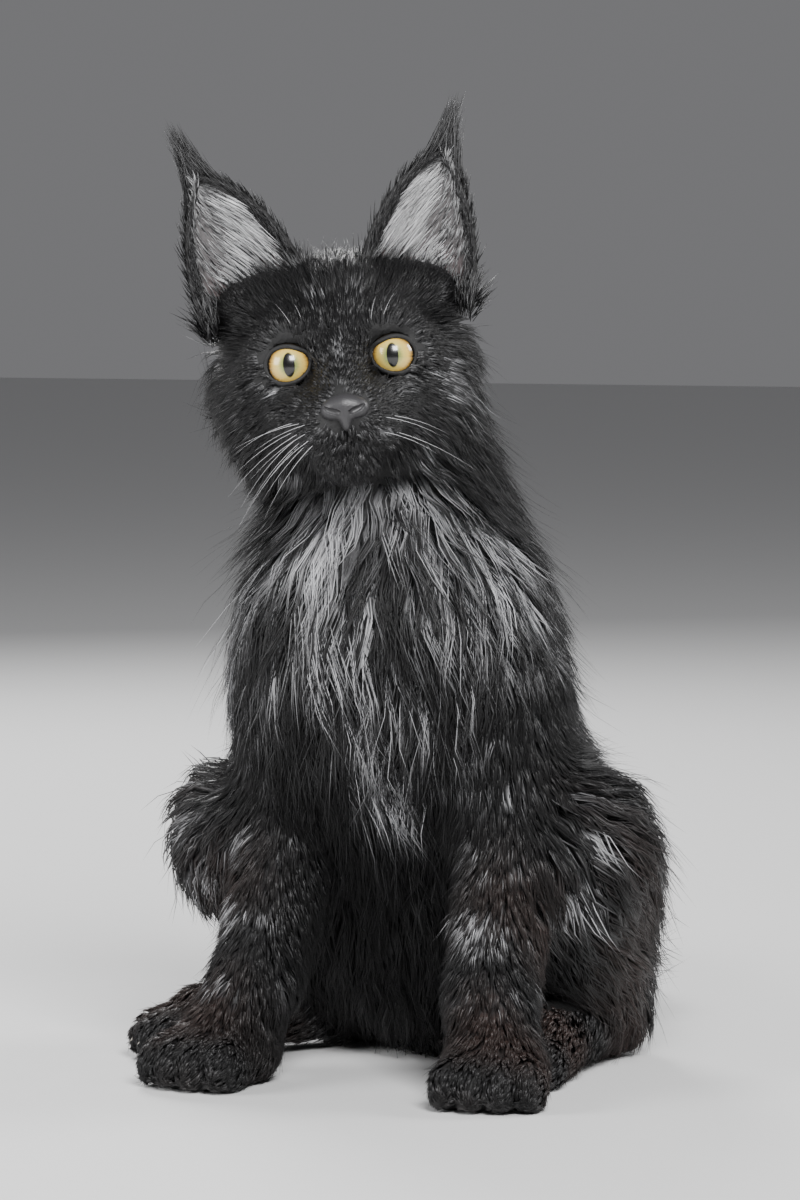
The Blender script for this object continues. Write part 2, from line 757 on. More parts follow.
@dataclass
class Lie:
    """Which way the coat lies on each region of a body."""

    body: Body
    nose: tuple = (0, -0.082, -0.022)       # in the head's axes, where the face's hair parts
    eye_ring: tuple = (0.024, 0.011)        # distances from an eye where its ring of hair starts and is full

    def head(self, points: Points) -> Points:
        """Away from the nose and round the eyes, then out and down over the cheeks."""
        local = moved(HEAD.inverted(), points)
        flow = unit(local - np.array(self.nose))
        side = np.where(local[:, 0] > 0, 1.0, -1.0)
        ruff = smooth(np.abs(local[:, 0]), 0.024, 0.044) * smooth(local[:, 2], 0.024, -0.006)
        fall = np.stack([0.75 * side, np.full(len(side), 0.35), np.full(len(side), -0.85)], axis=1)
        flow += 1.4 * ruff[:, None] * fall
        beard = smooth(local[:, 2], -0.036, -0.050)
        flow += beard[:, None] * (0, 0.1, -1.2)
        for mark in (1, -1):
            away = local - (mark * EYE_APART, EYE_DEPTH - 0.006, 0)
            far = np.linalg.norm(away, axis=1)
            near = smooth(far, *self.eye_ring)
            flow += 1.6 * near[:, None] * unit(away)
        return turned(HEAD, flow)

    def neck(self, points: Points) -> Points:
        """Down, spreading a little to each side."""
        return np.stack([points[:, 0] * 3, np.full(len(points), -0.05), np.full(len(points), -1.0)], axis=1)

    def torso(self, points: Points) -> Points:
        """Down the chest in front, and more and more backwards along the flank."""
        back = np.clip((points[:, 1] - 0.04) / 0.12, 0, 1)
        return np.stack([points[:, 0] * 2 * (1 - back), 0.75 * back, np.full(len(points), -1.0)], axis=1)

    def foreleg(self, points: Points) -> Points:
        """Down the leg, a little backwards."""
        return np.tile((0.0, 0.05, -1.0), (len(points), 1))

    def paw(self, points: Points) -> Points:
        """Forwards over the toes and down."""
        return np.stack([points[:, 0] * 2, np.full(len(points), -1.0), np.full(len(points), -0.55)], axis=1)

    def thigh(self, points: Points) -> Points:
        """Back and down over the haunch."""
        return np.stack(
            [np.sign(points[:, 0]) * 0.15, np.full(len(points), 0.72), np.full(len(points), -0.70)], axis=1
        )

    def foot(self, points: Points) -> Points:
        """Forwards along the foot and down."""
        return np.stack([points[:, 0] * 2, np.full(len(points), -1.0), np.full(len(points), -0.30)], axis=1)

    def tail(self, points: Points) -> Points:
        """The way the tail runs at its nearest bone, a little outwards from it."""
        path = np.array(self.body.tail_path)
        middles, steps = (path[1:] + path[:-1]) / 2, unit(path[1:] - path[:-1])
        nearest = np.argmin(((points[:, None] - middles) ** 2).sum(axis=2), axis=1)
        return steps[nearest] + 0.3 * unit(points - middles[nearest])

    def at(self, points: Points) -> Points:
        """The lie at each point, blended over the regions.

        Args:
            points: Points on or over the skin.

        Returns:
            Directions of length one.
        """
        parts: dict[Region, Callable] = {
            Region.HEAD: self.head, Region.NECK: self.neck, Region.TORSO: self.torso,
            Region.FORELEG: self.foreleg, Region.PAW: self.paw, Region.THIGH: self.thigh,
            Region.FOOT: self.foot, Region.TAIL: self.tail,
        }
        shares = self.body.weights(points)
        return unit(sum(shares[name][:, None] * unit(lie(points)) for name, lie in parts.items()))


# Finishes

class Making:
    """A material that is being made: its nodes, their links and its shader."""

    def __init__(self, name: str) -> None:
        """Starts a material.

        Args:
            name: The material's name.
        """
        self.material = bpy.data.materials.new(name)
        self.material.use_nodes = True
        self.tree = self.material.node_tree
        self.shader = self.tree.nodes["Principled BSDF"]

    def feed(self, node: bpy.types.Node, inputs: dict) -> None:
        """Sets a node's inputs, or links them where they are given another node's output.

        Args:
            node: The node.
            inputs: Values or outputs, by the input's name or number.
        """
        for key, value in inputs.items():
            if isinstance(value, bpy.types.NodeSocket):
                self.tree.links.new(value, node.inputs[key])
            else:
                node.inputs[key].default_value = value

    def add(self, kind: str, inputs: dict | None = None, **settings: str) -> bpy.types.NodeOutputs:
        """Adds a node.

        Args:
            kind: Its type, without what all types start with.
            inputs: Values or outputs for its inputs.
            settings: Its own settings.

        Returns:
            Its outputs.
        """
        node = self.tree.nodes.new("ShaderNode" + kind)
        for key, value in settings.items():
            setattr(node, key, value)
        self.feed(node, inputs or {})
        return node.outputs

    def shown(self, inputs: dict) -> bpy.types.Material:
        """Feeds the shader and hands over the material."""
        self.feed(self.shader, inputs)
        return self.material


@dataclass(frozen=True)
class CoatFinish:
    """Hair: its colour comes with each strand, and it has a soft gloss."""

    roughness: float = 0.46
    specular: float = 0.42

    def build(self, name: str) -> bpy.types.Material:
        """The material of a coat piece."""
        making = Making(name)
        shade = making.add("Attribute", attribute_name="coat_shade")
        return making.shown({
            "Base Color": shade["Color"], "Roughness": self.roughness, "Specular IOR Level": self.specular,
        })


@dataclass(frozen=True)
class SkinFinish:
    """Skin with its shortest hair: the coat's markings, broken up by fine streaks."""

    roughness: float = 0.72
    streaks: float = 620.0      # streaks to the metre
    strength: float = 0.6       # of the streaks, in colour and in relief
    depth: float = 0.0007

    def build(self, name: str) -> bpy.types.Material:
        """The material of the skin."""
        making = Making(name)
        shade = making.add("Attribute", attribute_name="coat_shade")
        place = making.add("TexCoord")
        noise = making.add("TexNoise", {"Scale": self.streaks, "Detail": 3.0, "Vector": place["Object"]})
        mixed = making.add(
            "Mix", {"Factor": self.strength, 6: shade["Color"], 7: noise["Fac"]},
            data_type="RGBA", blend_type="MULTIPLY",
        )
        bump = making.add("Bump", {"Strength": self.strength, "Distance": self.depth, "Height": noise["Fac"]})
        return making.shown({"Base Color": mixed[2], "Normal": bump["Normal"], "Roughness": self.roughness})


@dataclass(frozen=True)
class LeatherFinish:
    """Dark, faintly pebbled leather of the nose."""

    colour: tuple = (0.030, 0.029, 0.031)
    roughness: float = 0.42
    pebbles: float = 1900.0     # to the metre
    depth: float = 0.0002

    def build(self, name: str) -> bpy.types.Material:
        """The material of the nose."""
        making = Making(name)
        place = making.add("TexCoord")
        cells = making.add("TexVoronoi", {"Scale": self.pebbles, "Vector": place["Object"]})
        bump = making.add("Bump", {"Strength": 0.35, "Distance": self.depth, "Height": cells["Distance"]})
        return making.shown({
            "Base Color": (*self.colour, 1), "Normal": bump["Normal"], "Roughness": self.roughness,
        })


@dataclass(frozen=True)
class PlainFinish:
    """One even colour with a slight unevenness of gloss, for whiskers, claws and the floor."""

    colour: tuple
    roughness: float
    uneven: float = 0.06

    def build(self, name: str) -> bpy.types.Material:
        """The material."""
        making = Making(name)
        place = making.add("TexCoord")
        noise = making.add("TexNoise", {"Scale": 60.0, "Vector": place["Object"]})
        low, high = self.roughness - self.uneven, self.roughness + self.uneven
        gloss = making.add("MapRange", {"To Min": low, "To Max": high, "Value": noise["Fac"]})
        return making.shown({"Base Color": (*self.colour, 1), "Roughness": gloss["Result"]})


@dataclass(frozen=True)
class IrisFinish:
    """An amber iris with a green inner ring and an upright pupil, under a wet cornea."""

    stops: tuple = (
        (0.00, (0.110, 0.140, 0.055)), (0.40, (0.230, 0.260, 0.080)), (0.56, (0.560, 0.450, 0.120)),
        (0.74, (0.640, 0.430, 0.090)), (0.86, (0.330, 0.190, 0.040)), (0.94, (0.012, 0.009, 0.006)),
    )
    pupil: tuple = (0.250, 0.520)       # half its width and height, as shares of the eyeball's radius
    pupil_edge: tuple = (0.94, 1.06)    # where its edge starts and ends, as shares of its own size
    pupil_colour: tuple = (0.002, 0.002, 0.002)
    fibres: float = 9.0
    fibre_reach: float = 0.16           # how far the fibres carry the rings in and out

    def rings(self, making: Making, at: bpy.types.NodeSocket) -> bpy.types.NodeSocket:
        """The colour by the distance from the eye's middle.

        Args:
            making: The material.
            at: That distance.

        Returns:
            The colour.
        """
        node = making.tree.nodes.new("ShaderNodeValToRGB")
        elements = node.color_ramp.elements
        while len(elements) < len(self.stops):
            elements.new(0.5)
        for element, (place, colour) in zip(elements, self.stops):
            element.position = place
            element.color = (*colour, 1)
        making.feed(node, {"Fac": at})
        return node.outputs["Color"]

    def build(self, name: str) -> bpy.types.Material:
        """The material of an eyeball, which reads the eye's own UV map."""
        making = Making(name)
        chart = making.add("UVMap", uv_map="eye")
        centred = making.add(
            "VectorMath", {0: chart["UV"], 1: (2, 2, 0), 2: (-1, -1, 0)}, operation="MULTIPLY_ADD"
        )["Vector"]
        radius = making.add("VectorMath", {0: centred}, operation="LENGTH")["Value"]
        towards = making.add("VectorMath", {0: centred}, operation="NORMALIZE")["Vector"]
        noise = making.add("TexNoise", {"Scale": self.fibres, "Detail": 6.0, "Vector": towards})
        fibres = {0: noise["Fac"], 1: self.fibre_reach, 2: radius}
        ringed = making.add("Math", fibres, operation="MULTIPLY_ADD")
        slit = making.add("VectorMath", {0: centred, 1: (*self.pupil, 1)}, operation="DIVIDE")["Vector"]
        edge = making.add("VectorMath", {0: slit}, operation="LENGTH")["Value"]
        start, end = self.pupil_edge
        inside = making.add("MapRange", {"From Min": start, "From Max": end, "Value": edge})
        colours = {6: (*self.pupil_colour, 1), 7: self.rings(making, ringed["Value"])}
        mixed = making.add("Mix", {"Factor": inside["Result"], **colours}, data_type="RGBA")
        return making.shown({
            "Base Color": mixed[2], "Roughness": 0.25,
            "Coat Weight": 1.0, "Coat Roughness": 0.02, "Coat IOR": 1.38,
        })


# Placing a finished piece

def shift_to_frame() -> Vector:
    """How far the frame's cat stands from the cat's own axes, read from its left eye."""
    low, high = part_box("eye_left")
    return (low + high) / 2 - HEAD @ Vector((EYE_APART, EYE_DEPTH, 0))


SHIFT = shift_to_frame()


def set_up(
    piece: bpy.types.Object, finish: bpy.types.Material, slot: str, *nodes: str
) -> bpy.types.Object:
    """Moves a piece into the frame, dresses it, and makes it ride there.

    Args:
        piece: The finished piece, in the cat's own axes.
        finish: Its material.
        slot: The material slot of the record that it takes its finish from.
        nodes: The nodes that it stands for.

    Returns:
        The piece.
    """
    piece.data.transform(Matrix.Translation(SHIFT))
    piece.data.materials.clear()
    piece.data.materials.append(finish)
    piece.data.shade_smooth()
    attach(piece, "root")
    if nodes:
        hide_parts(*nodes)
    log.info("%s: %d faces", piece.name, len(piece.data.polygons))
    return piece


# Ears

@dataclass(frozen=True)
class Ear:
    """A cupped ear as a sheet, from its base at up = 0 to its tip, and from inner to outer edge."""

    name: str
    side: int
    turn_out: float         # in degrees
    tip: Vector = Vector((0.0575, 0.006, 0.0950))
    inner: tuple = (Vector((0.010, -0.004, 0.036)), Vector((0.027, -0.007, 0.088)))
    outer: tuple = (Vector((0.064, -0.003, 0.018)), Vector((0.0755, -0.004, 0.062)))
    cup: float = 0.028
    wall: float = 0.0022
    rows: int = 30
    columns: int = 26

    def place(self) -> Matrix:
        """Turns the ear outwards about its base, in the cat's axes."""
        pivot = Vector((self.side * 0.040, 0.005, 0.040))
        turn = degrees(0, self.side * self.turn_out, 0).to_matrix().to_4x4()
        return HEAD @ Matrix.Translation(pivot) @ turn @ Matrix.Translation(-pivot)

    def points(self, up: Values, across: Values) -> Points:
        """Points of the sheet in the cat's axes.

        Args:
            up: From 0 at the base to 1 at the tip.
            across: From -1 at the inner edge to 1 at the outer.

        Returns:
            One row for each pair.
        """
        up, across = up[:, None], across[:, None]
        inner, outer = (
            (1 - up) ** 2 * np.array(base) + 2 * up * (1 - up) * np.array(bulge) + up**2 * np.array(self.tip)
            for base, bulge in (self.inner, self.outer)
        )
        middle = inner + (outer - inner) * (across + 1) / 2
        depth = self.cup * (1 - up) ** 0.85 * (1 - across**2)
        local = middle + np.array(Vector((0.10, 1, 0.15)).normalized()) * depth
        return moved(self.place(), local * (self.side, 1, 1))

    def axes(self, up: Values, across: Values) -> tuple[Points, Points, Points]:
        """Directions up the sheet, towards its outer edge, and out of its hollow side."""
        here, step = self.points(up, across), 0.01
        rise = unit(self.points(up + step, across) - here)
        over = unit(self.points(up, across + step) - here)
        return rise, over, unit(np.cross(over, rise) * self.side)

    def build(self) -> bpy.types.Object:
        """The ear as a closed wall of even thickness."""
        mesh = bmesh.new()
        bmesh.ops.create_grid(mesh, x_segments=self.columns, y_segments=self.rows, size=1)
        flat = np.array([v.co for v in mesh.verts])
        up = np.minimum((flat[:, 1] + 1) / 2, 0.985)
        for v, point in zip(mesh.verts, self.points(up, flat[:, 0])):
            v.co = point
        if self.side > 0:
            bmesh.ops.reverse_faces(mesh, faces=mesh.faces)
        ear = from_bmesh(self.name, mesh)
        wall = ear.modifiers.new("wall", "SOLIDIFY")
        wall.thickness = self.wall
        wall.offset = 0
        return applied(ear)


EARS = (Ear("ear left", 1, 0), Ear("ear right", -1, 3))


# Skin

FLESH_NODES = (
    "head", "neck", "torso", "ear_left", "ear_right", "foreleg_left", "foreleg_right", "forepaw_left",
    "forepaw_right", "thigh_left", "thigh_right", "hind_foot_left", "hind_foot_right", "tail_base",
    "tail_middle", "tail_tip",
)


@dataclass
class Skin:
    """The cat's one skin, with its ears, lids, mouth and eye sockets."""

    body: Body
    markings: Markings
    lid_open: tuple = (58, 49)      # sideways and upwards from the eye's middle, in degrees
    lid_corner: float = 15          # more than that at the corner by the nose, in degrees
    lid_drop: float = 0.0016        # how much lower that corner lies
    lid_point: float = 6            # how fast the corner narrows
    lid_turn: float = 12            # how far the eye's opening faces outwards, in degrees
    lid_radius: float = 0.0116
    lid_thick: float = 0.0013
    lid_segments: tuple = (56, 10)
    socket_gap: float = 0.0003
    cleft: tuple = (
        ((0, -0.078, -0.0282), 0.0008), ((0, -0.076, -0.0340), 0.0011), ((0, -0.074, -0.0392), 0.0011),
    )
    mouth: tuple = (
        ((0, -0.0740, -0.0388), 0.0011), ((0.0065, -0.0740, -0.0418), 0.0013),
        ((0.0135, -0.0700, -0.0430), 0.0014), ((0.0200, -0.0620, -0.0420), 0.0014),
        ((0.0245, -0.0530, -0.0394), 0.0012), ((0.0275, -0.0440, -0.0366), 0.0006),
    )

    def cast(self) -> bpy.types.Object:
        """The blended masses as one closed mesh, fine at the head and coarser elsewhere."""
        mesh = bmesh.new()
        for mass in self.body.masses:
            if not mass.carve:
                mass.add_to(mesh)
        skin = from_bmesh("skin", mesh)
        remesh = skin.modifiers.new("weld the masses", "REMESH")
        remesh.mode = "VOXEL"
        remesh.voxel_size = SKIN_VOXEL
        applied(skin)
        bare = coords(skin.data)
        points = settled(bare, self.body.masses, np.zeros(len(bare)), rounds=4)
        skin.data.vertices.foreach_set("co", points.ravel())
        skin.data.update()
        group = skin.vertex_groups.new(name="away from the head")
        off_head = np.flatnonzero(moved(HEAD.inverted(), points)[:, 2] < -0.062)
        group.add(off_head.tolist(), 1.0, "REPLACE")
        thin = skin.modifiers.new("fewer faces", "DECIMATE")
        thin.ratio = BODY_KEPT
        thin.vertex_group = group.name
        applied(skin)
        skin.vertex_groups.clear()
        return skin

    def lids(self, side: int) -> bpy.types.Object:
        """The rim of both lids as one closed ring that lies on the eyeball."""
        spin = degrees(0, 0, side * self.lid_turn).to_matrix()
        ahead, inward = spin @ Vector((0, -1, 0)), spin @ Vector((-side, 0, 0))
        axes = HEAD.to_3x3() @ Matrix((inward, ahead.cross(inward) * side, ahead)).transposed()
        middle = HEAD @ Vector((side * EYE_APART, EYE_DEPTH, 0))
        mesh = bmesh.new()
        around, across = self.lid_segments
        rings = []
        for n in range(around):
            towards = Vector((math.cos(math.tau * n / around), math.sin(math.tau * n / around), 0))
            corner = max(0.0, towards.x) ** self.lid_point
            open_by = math.hypot(self.lid_open[0] * towards.x, self.lid_open[1] * towards.y)
            polar = math.radians(open_by + self.lid_corner * corner)
            out = math.sin(polar) * towards + Vector((0, 0, math.cos(polar)))
            along = math.cos(polar) * towards - Vector((0, 0, math.sin(polar)))
            ring = []
            for k in range(across):
                turn = math.tau * k / across
                offset = self.lid_thick * (math.cos(turn) * along + math.sin(turn) * out)
                drop = Vector((0, -self.lid_drop * corner, 0))
                ring.append(mesh.verts.new(middle + axes @ (self.lid_radius * out + offset + drop)))
            rings.append(ring)
        for n in range(around):
            low, high = rings[n], rings[(n + 1) % around]
            for k in range(across):
                j = (k + 1) % across
                mesh.faces.new((low[k], low[j], high[j], high[k]))
        bmesh.ops.recalc_face_normals(mesh, faces=mesh.faces)
        return from_bmesh("lids", mesh)

    def grooves(self) -> list[bpy.types.Object]:
        """Cutters for the lip's cleft and both sides of the mouth."""
        made = []
        mirrored = tuple(((-p[0], p[1], p[2]), r) for p, r in self.mouth)
        for path in (self.cleft, self.mouth, mirrored):
            places = moved(HEAD, np.array([p for p, _ in path]))
            places = settled(places, self.body.masses, np.zeros(len(places)), rounds=8)
            mesh = tube([Vector(p) for p in places], [r for _, r in path], 10)
            made.append(from_bmesh("groove", mesh))
        return made

    def socket(self, side: int) -> bpy.types.Object:
        """A ball that clears the room for an eye."""
        mesh = bmesh.new()
        place = Matrix.Translation(HEAD @ Vector((side * EYE_APART, EYE_DEPTH, 0)))
        bmesh.ops.create_icosphere(mesh, subdivisions=5, radius=EYE_RADIUS + self.socket_gap, matrix=place)
        return from_bmesh("socket", mesh)

    def floor_cut(self) -> bpy.types.Object:
        """A block that takes off what lies under the floor."""
        mesh = bmesh.new()
        place = Matrix.Translation((0, 0, FLOOR - 0.5)) @ Matrix.Diagonal((2, 2, 1, 1))
        bmesh.ops.create_cube(mesh, size=1, matrix=place)
        return from_bmesh("floor cut", mesh)

    def shade(self, data: bpy.types.Mesh) -> None:
        """Paints the coat's markings on the skin."""
        points = coords(data)
        silver = self.markings.silver_at(points)
        colours = self.markings.colour(silver, self.markings.brown_at(points), np.full(len(points), 0.35))
        colours *= 0.7
        for ear in EARS:
            colours = self.shade_ear(ear, points, colours)
        paint(data, colours)

    def shade_ear(self, ear: Ear, points: Points, colours: np.ndarray) -> np.ndarray:
        """Gives the hollow side of an ear its pale skin, pink at the base."""
        ups, overs = (g.ravel() for g in np.meshgrid(np.linspace(0.02, 0.94, 40), np.linspace(-0.9, 0.9, 30)))
        hollow = ear.points(ups, overs) + 0.0011 * ear.axes(ups, overs)[2]
        outside = distance(points, self.body.masses, np.zeros(len(points))) > 0.0015
        for k in np.flatnonzero(outside):
            gaps = ((hollow - points[k]) ** 2).sum(axis=1)
            nearest = int(np.argmin(gaps))
            if gaps[nearest] < 0.0019**2:
                pink = float(smooth(np.array([ups[nearest]]), 0.34, 0.05)[0])
                edge = float(smooth(np.array([abs(overs[nearest])]), 0.9, 0.66)[0])
                tone = np.array((0.150, 0.140, 0.142)) + pink * np.array((0.070, 0.000, 0.000))
                colours[k] += edge * (tone - colours[k])
        return colours

    def unwrap(self, skin: bpy.types.Object) -> None:
        """Unwraps the skin by its own shape."""
        bpy.context.view_layer.objects.active = skin
        skin.select_set(True)
        bpy.ops.object.mode_set(mode="EDIT")
        bpy.ops.mesh.select_all(action="SELECT")
        bpy.ops.uv.smart_project(angle_limit=math.radians(66), island_margin=0.002)
        bpy.ops.object.mode_set(mode="OBJECT")
        skin.select_set(False)
        skin.data.uv_layers[0].name = "OFBake"

    def build(self) -> bpy.types.Object:
        """The whole skin, unwrapped and painted."""
        skin = self.cast()
        for ear in EARS:
            boolean(skin, ear.build(), "UNION")
        for side in (1, -1):
            boolean(skin, self.lids(side), "UNION")
        for groove in self.grooves():
            boolean(skin, groove, "DIFFERENCE")
        for side in (1, -1):
            boolean(skin, self.socket(side), "DIFFERENCE")
        boolean(skin, self.floor_cut(), "DIFFERENCE")
        skin.data.name = "skin"
        self.unwrap(skin)
        self.shade(skin.data)
        return skin


# Coat

@dataclass
class Strands:
    """Many tapered solid strands: their middles, which way is out, and their widths and colours."""

    middles: np.ndarray     # strands x stations x 3, the last station being the tip
    outs: np.ndarray        # the same shape
    widths: np.ndarray      # strands
    flat: np.ndarray        # strands: thickness for each metre of width
    colours: np.ndarray     # strands x stations x 3
    spots: np.ndarray       # strands x 2, the root's place on the unwrapped skin

    PATCH = 0.003
    PROFILES = {2: (0.80, 1.0), 3: (0.75, 1.0, 0.72), 4: (0.70, 1.0, 0.90, 0.60)}

    def triangles(self) -> int:
        """How many triangles the strands have."""
        sections = self.middles.shape[1] - 1
        return len(self.middles) * (6 * (sections - 1) + 4)

    def build(self, name: str) -> bpy.types.Object:
        """All the strands as one mesh.

        Args:
            name: The piece's name.

        Returns:
            The object, in the cat's own axes.
        """
        count, stations = self.middles.shape[:2]
        sections = stations - 1
        ahead = np.empty_like(self.middles)
        ahead[:, 0] = self.middles[:, 1] - self.middles[:, 0]
        ahead[:, 1:-1] = self.middles[:, 2:] - self.middles[:, :-2]
        ahead[:, -1] = self.middles[:, -1] - self.middles[:, -2]
        side = unit(np.cross(ahead, self.outs))
        out = unit(np.cross(side, ahead))
        half = self.widths[:, None] * np.array(self.PROFILES[sections]) / 2
        lean = side[:, :-1] * half[..., None]
        rise = out[:, :-1] * (half * self.flat[:, None])[..., None]
        core = self.middles[:, :-1]
        corners = np.stack([core + lean, core + rise, core - lean], axis=2).reshape(count, -1, 3)
        points = np.concatenate([corners, self.middles[:, -1:]], axis=1)
        points[..., 2] = np.maximum(points[..., 2], FLOOR + 0.0004)

        each = 3 * sections + 1
        faces, sizes = [0, 1, 2], [3]
        for first in range(0, 3 * sections - 3, 3):
            for k in range(3):
                a, b = first + k, first + (k + 1) % 3
                faces += [b, a, a + 3, b + 3]
                sizes.append(4)
        for k in range(3):
            a, b = 3 * sections - 3 + k, 3 * sections - 3 + (k + 1) % 3
            faces += [b, a, each - 1]
            sizes.append(3)
        loops = (np.array(faces) + each * np.arange(count)[:, None]).ravel()
        totals = np.tile(sizes, count)
        starts = np.concatenate([[0], np.cumsum(totals)[:-1]])

        data = bpy.data.meshes.new(name)
        data.vertices.add(count * each)
        data.vertices.foreach_set("co", points.astype(np.float32).ravel())
        data.loops.add(len(loops))
        data.loops.foreach_set("vertex_index", loops.astype(np.int32))
        data.polygons.add(len(starts))
        data.polygons.foreach_set("loop_start", starts.astype(np.int32))
        data.update(calc_edges=True)

        tones = np.repeat(self.colours[:, :-1], 3, axis=1)
        tones = np.concatenate([tones, self.colours[:, -1:]], axis=1)
        paint(data, tones.reshape(-1, 3))
        self.chart(data, np.array(faces), sections, count)
        return link(name, data)

    def chart(self, data: bpy.types.Mesh, faces: np.ndarray, sections: int, count: int) -> None:
        """Gives each strand its own small patch where its root is on the unwrapped skin.

        Args:
            data: The mesh.
            faces: The corners of one strand's faces.
            sections: How many sections a strand has.
            count: How many strands there are.
        """
        across = np.append(np.tile((0.0, 0.5, 1.0), sections), 0.5)[faces]
        along = np.append(np.repeat(np.arange(sections) / sections, 3), 1.0)[faces]
        local = np.stack([across, along], axis=1) - 0.5
        charted = np.clip(self.spots, self.PATCH, 1 - self.PATCH)[:, None] + local * self.PATCH
        layer = data.uv_layers.new(name="OFBake")
        layer.data.foreach_set("uv", charted.reshape(count * len(faces), 2).astype(np.float32).ravel())


@dataclass
class Roots:
    """Places on the skin where tufts grow."""

    points: Points
    normals: Points
    spots: np.ndarray

    def pick(self, which: np.ndarray) -> "Roots":
        """Some of the roots."""
        return Roots(self.points[which], self.normals[which], self.spots[which])


@dataclass
class Tufts:
    """The guides that the strands of a coat follow, one for each tuft."""

    roots: Roots
    paths: np.ndarray       # tufts x stations x 3, evenly spaced along each
    outs: np.ndarray
    depth: Values           # of the coat at the root
    length: Values
    silver: Values
    brown: Values

    def pick(self, which: np.ndarray) -> "Tufts":
        """Some of the tufts."""
        return Tufts(
            self.roots.pick(which), self.paths[which], self.outs[which], self.depth[which],
            self.length[which], self.silver[which], self.brown[which],
        )


